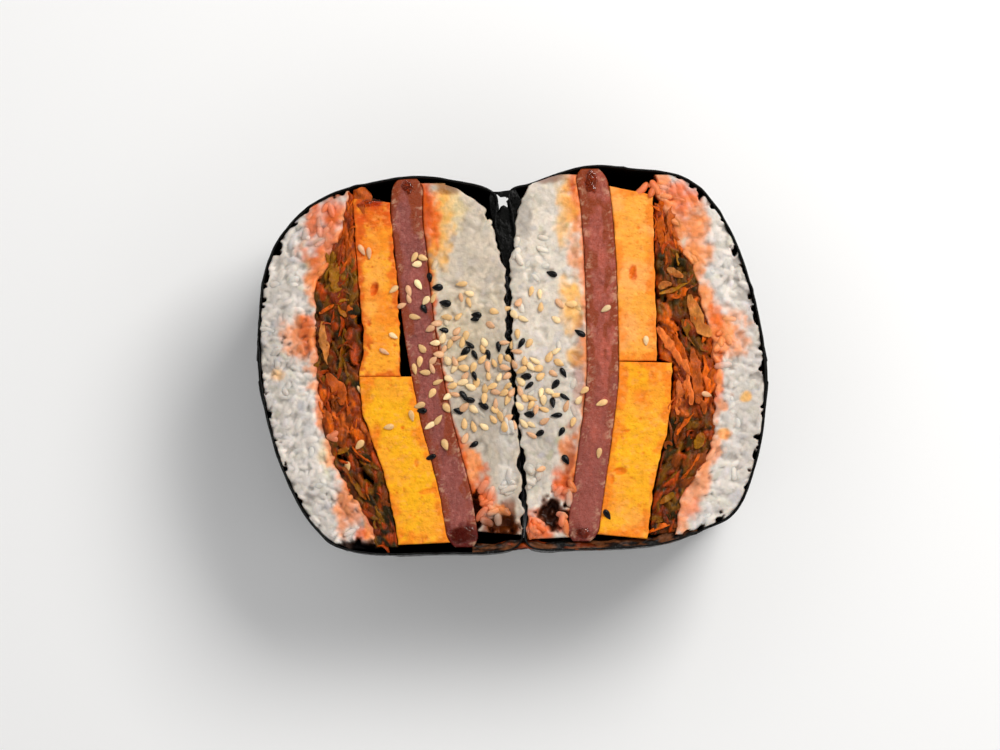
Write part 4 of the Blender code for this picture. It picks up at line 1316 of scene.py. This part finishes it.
def add_torn_sheet(piece):
    """Torn nori across the gap between the halves, with the hole in it."""
    columns, rows = 140, 16
    rings = []
    for corners in (STAR, TORN_OUTLINE):
        ring = even(np.array(corners), columns)[::-1]
        start = np.argmin(np.hypot(*(ring - TORN_START).T))
        rings.append(np.roll(ring, -start, axis=0))
    hole, outline = rings
    share = np.linspace(0, 1, rows)[:, None, None]
    flat = outline * (1 - share) + hole * share
    lie = 46.4 + 1.0 * step((flat[..., 1] - 35) / 6) - 0.8 * step((30 - flat[..., 1]) / 8)
    lie = lie + 0.45 * field(flat, 2.2, 61, 2) * (0.3 + 0.7 * share[..., 0])
    points, quads = shell(np.dstack([flat, lie]), SHEET_THICKNESS, closed=True)
    piece.add(points, linear("nori") * (1 + 0.6 * field(points, 2, 62))[:, None], quads)


# The outer edge of the wet lip, as (x, y).
LIP_EDGE = [(-10, -48.2), (0, -47.7), (4, -47.3), (18, -47.6), (36, -46.3), (46, -43.6)]


def add_lip(piece):
    """The wet edge of nori turned in along the near end of the cut faces."""
    rows, columns = 10, 190
    along = np.linspace(LIP_EDGE[0][0], LIP_EDGE[-1][0], columns)
    x = np.broadcast_to(along, (rows, columns))
    u = np.linspace(0, 1, rows)[:, None]
    edge = smooth(LIP_EDGE)(x)
    ruffle = field(np.dstack([x * 0.5, np.broadcast_to(u * 5, x.shape)]), 1.6, 71, 3)
    y = edge + u * (2.2 + 0.8 * line_noise(x, 5, 72)) + 0.12 * ruffle
    z = CUT - 0.25 - 1.6 * u + 0.4 * ruffle
    points, quads = shell(np.dstack([x, y, z]), SHEET_THICKNESS)
    # Brown patches on the lip: partly sauce on the nori, partly painted sheen.
    wet = step(0.35 + 1.2 * field(points * (0.3, 1, 1), 1.0, 73, 3))
    tints = mixed(np.tile(linear("nori"), (len(points), 1)), "nori_sauce_and_sheen", wet)
    stain = step(field(points * (0.25, 1, 1), 1.3, 74, 3) * 2.2 + 0.15)
    stain *= step((26 - points[:, 0]) / 16)
    piece.add(points, mixed(tints, "rust", 0.85 * stain), quads)


# The height a ray down starts from, and the lowest one at which it still finds the object.
RAY_START = 200.0
RAY_END = 20.0


def surface_at(x, y):
    """The point of the visible object under a spot, and the way its surface faces."""
    graph = bpy.context.evaluated_depsgraph_get()
    start = Vector((x * MM, y * MM, RAY_START * MM))
    hit, place, normal, *_ = bpy.context.scene.ray_cast(graph, start, Vector((0, 0, -1)))
    if not hit or place.z < RAY_END * MM:
        return None, None
    return np.array(place) / MM, np.array(normal)


# Sesame seeds: x, y, spread in x, spread in y, seeds. Then strays as x, y, turn in degrees.
TAN_CLUSTERS = [
    (-1.0, -2.5, 3.2, 5.0, 36), (-10.5, -3.5, 5.5, 4.5, 34), (-15.0, 10.0, 5.5, 5.5, 18),
    (8.5, -6.0, 4.6, 5.5, 18), (7.5, 12.0, 4.0, 3.0, 8), (3.0, -12.5, 3.5, 2.6, 10),
    (-10.0, -13.5, 4.0, 3.0, 8),
]
TAN_STRAYS = [
    (-37.8, 27.4, 120), (-36.0, 26.6, 95), (-24.6, 25.6, 60), (-24.0, 23.8, 10), (-22.4, 25.4, 160),
    (-29.8, 17.4, 40), (-29.8, 5.8, 150), (-32.0, 1.8, 150), (-38.2, -7.8, 140), (-30.9, -17.0, 10),
    (-38.2, -21.4, 50), (-41.0, -26.8, 100), (-25.1, -14.2, 100), (22.3, -11.0, 20),
    (21.6, -23.5, 80), (23.4, 12.6, 30), (48.4, -8.8, 160), (33.4, 4.6, 90), (-16.8, -21.5, 110),
    (7.0, -27.6, 20), (-23.2, -11.6, 20), (-21.6, 14.6, 50), (-24.4, 10.6, 170), (-20.6, 7.6, 30),
]
BLACK_SEEDS = [
    (-20.6, 20.5, 110), (-18.8, 18.0, 0), (-16.8, 14.0, -10), (-22.2, 12.6, 120), (-17.1, 7.2, 0),
    (-9.0, 11.1, -5), (-9.4, 10.0, 0), (9.9, 21.4, -20), (2.2, 3.9, 60), (-3.5, 3.0, 95),
    (-1.6, 6.4, 80), (-10.7, 3.5, -40), (-11.8, 1.9, 40), (-9.4, 1.0, 120), (-6.1, 1.1, 105),
    (-9.5, -4.3, 110), (-12.2, -9.3, 130), (-10.9, -10.2, -10), (-7.2, -11.7, -30),
    (-13.6, -13.0, -15), (-22.6, -13.0, 0), (-9.7, -21.4, 30), (-20.4, -24.6, 20), (3.5, -4.3, 0),
    (4.1, -6.7, 40), (4.2, -13.8, 0), (6.8, -18.6, 30), (10.7, -6.3, 55), (12.7, -3.4, 120),
    (13.0, -9.5, 150), (10.1, -11.0, 100), (11.0, -14.1, 5), (12.2, -18.2, 60), (13.3, -25.2, 120),
    (23.6, -38.8, 120), (16.9, 6.5, -30),
]
SEED_RINGS = [
    (0.04, 0.22), (0.14, 0.44), (0.3, 0.74), (0.48, 0.95), (0.64, 1.0), (0.8, 0.88), (0.93, 0.55),
]
SEED = pod(SEED_RINGS, 12)
# Lengths, widths and heights of the seeds, and the least distance between two.
SEED_SIZES = [(2.5, 3.2), (1.15, 1.85), (0.75, 1.05)]
SEED_SPACING = 1.7


def make_seeds(name, spots, colours, look, seed):
    """Sesame seeds lying on whatever is under them."""
    draw = np.random.default_rng(seed)
    piece = Piece()
    shape, quads, tris = SEED
    shapes, tints = [], []
    for x, y, turn in spots:
        place, normal = surface_at(x, y)
        if place is None:
            continue
        place[2] = max(place[2], CUT - 1.2)
        size = np.array([draw.uniform(*limits) for limits in SEED_SIZES])
        up = normal * 0.6 + np.array([0, 0, 0.6]) + draw.normal(0, 0.16, 3)
        up /= np.linalg.norm(up)
        ahead = np.array([math.cos(turn), math.sin(turn), 0])
        ahead -= up * (ahead @ up)
        ahead /= np.linalg.norm(ahead)
        axes = np.stack([ahead, np.cross(up, ahead), up])
        shapes.append(place + up * size[2] * 0.34 + (shape * size) @ axes)
        colour = linear(colours[int(draw.integers(len(colours)))]) * draw.normal(1, 0.07)
        tip = step(1 - (shape[:, 0] + 0.5) / 0.16)
        tints.append(np.tile(colour, (len(shape), 1)) * (1 - 0.45 * tip)[:, None])
    add_copies(piece, np.array(shapes), quads, tris, np.array(tints))
    return piece.build(name, look)


def in_radians(spots):
    """Spots with their turns in radians."""
    return [(x, y, math.radians(turn)) for x, y, turn in spots]


def tan_spots(seed):
    """Places of the tan seeds: the strays, and clusters that keep clear of the black seeds."""
    draw = np.random.default_rng(seed)
    spots = in_radians(TAN_STRAYS)
    kept = [(x, y) for x, y, _ in BLACK_SEEDS]
    for x, y, spread_x, spread_y, count in TAN_CLUSTERS:
        made = 0
        for _ in range(40 * count):
            spot = draw.normal((x, y), (spread_x, spread_y))
            if made < count and all(math.dist(spot, other) > SEED_SPACING for other in kept):
                kept.append(tuple(spot))
                spots.append((*spot, draw.uniform(0, 2 * np.pi)))
                made += 1
    return spots


# Pools of glaze: x, y, half-width, half-length, turn in degrees, thickness.
POOLS = [
    (-12.3, -44.0, 3.0, 2.6, 10, 0.3), (-26.4, 43.4, 1.4, 1.8, 0, 0.25),
    (19.6, 44.6, 1.8, 3.0, 0, 0.3), (-35.6, 39.2, 3.4, 1.0, 8, 0.2),
    (17.4, -43.4, 1.8, 1.6, 0, 0.25),
]
POOL_DEPTH = 0.6


def make_pools():
    """Thin glossy films that lie on the tips of the meat and the top of an egg."""
    piece = Piece()
    around, rows = 44, 11
    angles = 2 * np.pi * np.arange(around) / around
    for number, (x, y, half_x, half_y, turn, thickness) in enumerate(POOLS):
        c, s = math.cos(math.radians(turn)), math.sin(math.radians(turn))
        spot = np.stack([np.cos(angles) * 2, np.sin(angles) * 2 + 9 * number], -1)
        reach = 1 + 0.3 * field(spot, 1.0, 5, 2)
        top = np.empty((rows, around, 3))
        for row, share in enumerate(np.linspace(1, 0.06, rows)):
            dx = half_x * share * reach * np.cos(angles)
            dy = half_y * share * reach * np.sin(angles)
            for k, (px, py) in enumerate(zip(x + dx * c - dy * s, y + dx * s + dy * c)):
                place, _ = surface_at(px, py)
                height = CUT - 1.0 if place is None else max(place[2], CUT - 1.4)
                top[row, k] = px, py, height
            top[row, :, 2] += thickness * (1 - share**2) ** 0.6 - 0.05
        lie = top[..., 2]
        for _ in range(2):
            lie = (np.roll(lie, 1, axis=1) + 2 * lie + np.roll(lie, -1, axis=1)) / 4
        ripple = field(top[..., :2], 1.2, 15, 2)
        top[..., 2] = lie + 0.12 * ripple * np.linspace(0, 1, rows)[:, None]
        under = top - (0, 0, POOL_DEPTH)
        points = np.concatenate([top, under[::-1]]).reshape(-1, 3)
        k, ahead = np.arange(around), (np.arange(around) + 1) % around
        lower, count = rows * around, len(points)
        last = count - around
        faces = grid(rows, around, closed=True)
        rim = np.stack([last + k, last + ahead, ahead, k], -1)
        tips = [fan(lower - around, around, count), fan(lower, around, count + 1, inside_out=True)]
        middles = [top[-1].mean(axis=0), under[-1].mean(axis=0)]
        points = np.concatenate([points, middles])
        piece.add(points, linear("film"), faces, faces + lower, rim, *tips)
    return piece.build("glaze", glaze_look)


def feed(tree, made, **values):
    """Sets inputs of a node to values, or links them to other nodes' outputs."""
    for key, value in values.items():
        socket = made.inputs[key.replace("_", " ")]
        if isinstance(value, bpy.types.NodeSocket):
            tree.links.new(value, socket)
        else:
            socket.default_value = value


def node(tree, kind, output, **values):
    """One output of a new node, whose own settings and inputs have values."""
    made = tree.nodes.new("ShaderNode" + kind)
    for key in [key for key in values if hasattr(made, key)]:
        setattr(made, key, values.pop(key))
    feed(tree, made, **values)
    return made.outputs[output]


def spread(tree, value, low, high, to_low, to_high, **values):
    """An output that maps one range of a value to another."""
    return node(
        tree, "MapRange", "Result", Value=value, From_Min=low, From_Max=high, To_Min=to_low,
        To_Max=to_high, **values)


# Distance between the pores of a material, in grains of its relief.
PORE_SPACING = 3.2


def look(
    name, mottle, mottle_size, grain_size, bump, roughness, settings, stretch=(1, 1, 1), pores=0.0):
    """A food material: the mesh's own colour, mottled, with fine relief and uneven gloss."""
    material = bpy.data.materials.new(name)
    material.use_nodes = True
    tree = material.node_tree
    surface = tree.nodes["Principled BSDF"]
    place = node(tree, "TexCoord", "Object")
    place = node(tree, "Mapping", "Vector", Vector=place, Scale=stretch)
    colour = node(tree, "Attribute", "Color", attribute_name="Tint")
    patches = node(
        tree, "TexNoise", "Fac", Vector=place, Scale=1 / (mottle_size * MM), Detail=4.0,
        Roughness=0.6)
    shade = spread(tree, patches, 0.3, 0.7, 1 - mottle, 1 + mottle)
    colour = node(tree, "VectorMath", "Vector", operation="SCALE", Vector=colour, Scale=shade)
    fine = node(
        tree, "TexNoise", "Fac", Vector=place, Scale=1 / (grain_size * MM), Detail=3.0,
        Roughness=0.65)
    gloss = spread(tree, fine, 0.35, 0.65, *roughness)
    relief = fine
    if pores:
        cells = node(
            tree, "TexVoronoi", "Distance", Vector=place,
            Scale=1 / (PORE_SPACING * grain_size * MM))
        hole = spread(tree, cells, 0.0, 0.35, -pores, 0.0)
        both = tree.nodes.new("ShaderNodeMath")
        both.operation = "ADD"
        tree.links.new(fine, both.inputs[0])
        tree.links.new(hole, both.inputs[1])
        relief = both.outputs["Value"]
    bumps = node(tree, "Bump", "Normal", Height=relief, Strength=1.0, Distance=bump * MM)
    feed(tree, surface, Base_Color=colour, Roughness=gloss, Normal=bumps, **settings)
    return material


def soft(weight, radius, **more):
    """Settings of a shader that lets light in, to a depth in millimetres."""
    return {
        "Subsurface_Weight": weight, "Subsurface_Radius": (1.0, 0.6, 0.4),
        "Subsurface_Scale": radius * MM, **more}


# Each look: how mottled it is and the size of the patches, size and height of the relief, limits of
# the roughness.
rice_look = look("rice", 0.05, 2.0, 0.5, 0.12, (0.25, 0.5), soft(0.3, 1.0, Specular_IOR_Level=0.35))
egg_look = look(
    "egg", 0.14, 1.2, 0.35, 0.18, (0.4, 0.8), soft(0.15, 0.7, Specular_IOR_Level=0.2),
    stretch=(0.85, 1, 1), pores=0.8)
meat_look = look(
    "meat", 0.12, 0.8, 0.3, 0.22, (0.12, 0.5), soft(0.12, 0.6, Specular_IOR_Level=0.25), pores=0.5)
kimchi_look = look(
    "kimchi", 0.3, 0.8, 0.35, 0.22, (0.12, 0.4), soft(0.12, 0.5, Specular_IOR_Level=0.16),
    stretch=(1, 0.5, 1))
nori_look = look(
    "nori", 0.4, 3.0, 0.8, 0.22, (0.2, 0.5), {"Specular_IOR_Level": 0.15}, stretch=(1, 1, 0.45))
tan_look = look(
    "sesame_tan", 0.12, 1.0, 0.3, 0.06, (0.3, 0.5), soft(0.15, 0.5, Specular_IOR_Level=0.4))
black_look = look(
    "sesame_black", 0.3, 1.0, 0.3, 0.06, (0.15, 0.4), {"Specular_IOR_Level": 0.2})
glaze_look = look(
    "glaze", 0.1, 2.0, 0.9, 0.1, (0.03, 0.1), {"Transmission_Weight": 1.0, "IOR": 1.38})

make_nori("left", seed=81)
make_nori("right", seed=82)
for number, name in enumerate(RICE):
    make_rice(name, seed=50 + number)
for name in EGGS:
    make_egg(name)
for name in MEATS:
    make_meat(name)
make_kimchi("kimchi_left", seed=91)
make_kimchi("kimchi_right", seed=92)
bpy.context.view_layer.update()
make_pools()
bpy.context.view_layer.update()
TAN_COLOURS = ["sesame", "sesame_pale", "sesame", "sesame_pink"]
make_seeds("sesame_tan", tan_spots(seed=77), TAN_COLOURS, tan_look, seed=101)
make_seeds("sesame_black", in_radians(BLACK_SEEDS), ["sesame_black"], black_look, seed=102)

# The studio, in metres.
FLOOR_REACH = 4
KEY_PLACE = (0.27, 0.3, 0.52)
KEY_SIZE = 0.3
KEY_ENERGY = 2.9
KEY_COLOUR = (1, 0.98, 0.95)


def make_floor():
    """A pale floor, which is no part of the object."""
    mesh = bpy.data.meshes.new("floor")
    corners = [
        (x * FLOOR_REACH, y * FLOOR_REACH, 0) for x, y in ((-1, -1), (1, -1), (1, 1), (-1, 1))]
    mesh.from_pydata(corners, [], [(0, 1, 2, 3)])
    floor = bpy.data.objects.new("floor", mesh)
    bpy.context.scene.collection.objects.link(floor)
    material = bpy.data.materials.new("floor")
    material.use_nodes = True
    tree = material.node_tree
    feed(
        tree, tree.nodes["Principled BSDF"], Base_Color=(0.94, 0.94, 0.94, 1), Roughness=0.9,
        Specular_IOR_Level=0.1)
    mesh.materials.append(material)


def add_light(name, place, size, energy, colour):
    """A square light that faces the middle of the cut faces."""
    data = bpy.data.lights.new(name, "AREA")
    data.size, data.energy, data.color = size, energy, colour
    light = bpy.data.objects.new(name, data)
    bpy.context.scene.collection.objects.link(light)
    light.location = place
    way = Vector((0, 0, CUT * MM)) - Vector(place)
    light.rotation_euler = way.to_track_quat("-Z", "Y").to_euler()


def make_studio():
    """A pale dome that is dim straight overhead, and one soft light from the far right."""
    world = bpy.data.worlds.new("studio")
    bpy.context.scene.world = world
    world.use_nodes = True
    tree = world.node_tree
    place = node(tree, "TexCoord", "Generated")
    height = node(tree, "SeparateXYZ", "Z", Vector=place)
    dim = spread(tree, height, 0.7, 0.92, 0.84, 0.05, interpolation_type="SMOOTHSTEP")
    feed(tree, tree.nodes["Background"], Color=(1, 1, 1, 1), Strength=dim)
    add_light("key", KEY_PLACE, KEY_SIZE, KEY_ENERGY, KEY_COLOUR)
    bpy.context.scene.view_settings.view_transform = "Standard"
    bpy.context.scene.view_settings.look = "None"


# The photograph's frame: 250 mm wide at the cut faces, 4 pixels to the millimetre.
FRAME_WIDTH = 250.0
FRAME_MIDDLE = (-3.125, -4.0)
CAMERA_DISTANCE = 750.0
CAMERA_TILT = 4.0


def make_camera():
    """The camera of the photo's view, which leans a little towards the near side."""
    data = bpy.data.cameras.new("camera")
    data.lens = data.sensor_width * CAMERA_DISTANCE / FRAME_WIDTH
    camera = bpy.data.objects.new("camera", data)
    bpy.context.scene.collection.objects.link(camera)
    tilt = math.radians(CAMERA_TILT)
    away = Vector((0, -math.sin(tilt), math.cos(tilt))) * CAMERA_DISTANCE
    camera.location = (Vector((*FRAME_MIDDLE, CUT)) + away) * MM
    camera.rotation_euler = (tilt, 0, 0)
    data.clip_start = 0.01
    bpy.context.scene.camera = camera


make_floor()
make_studio()
make_camera()
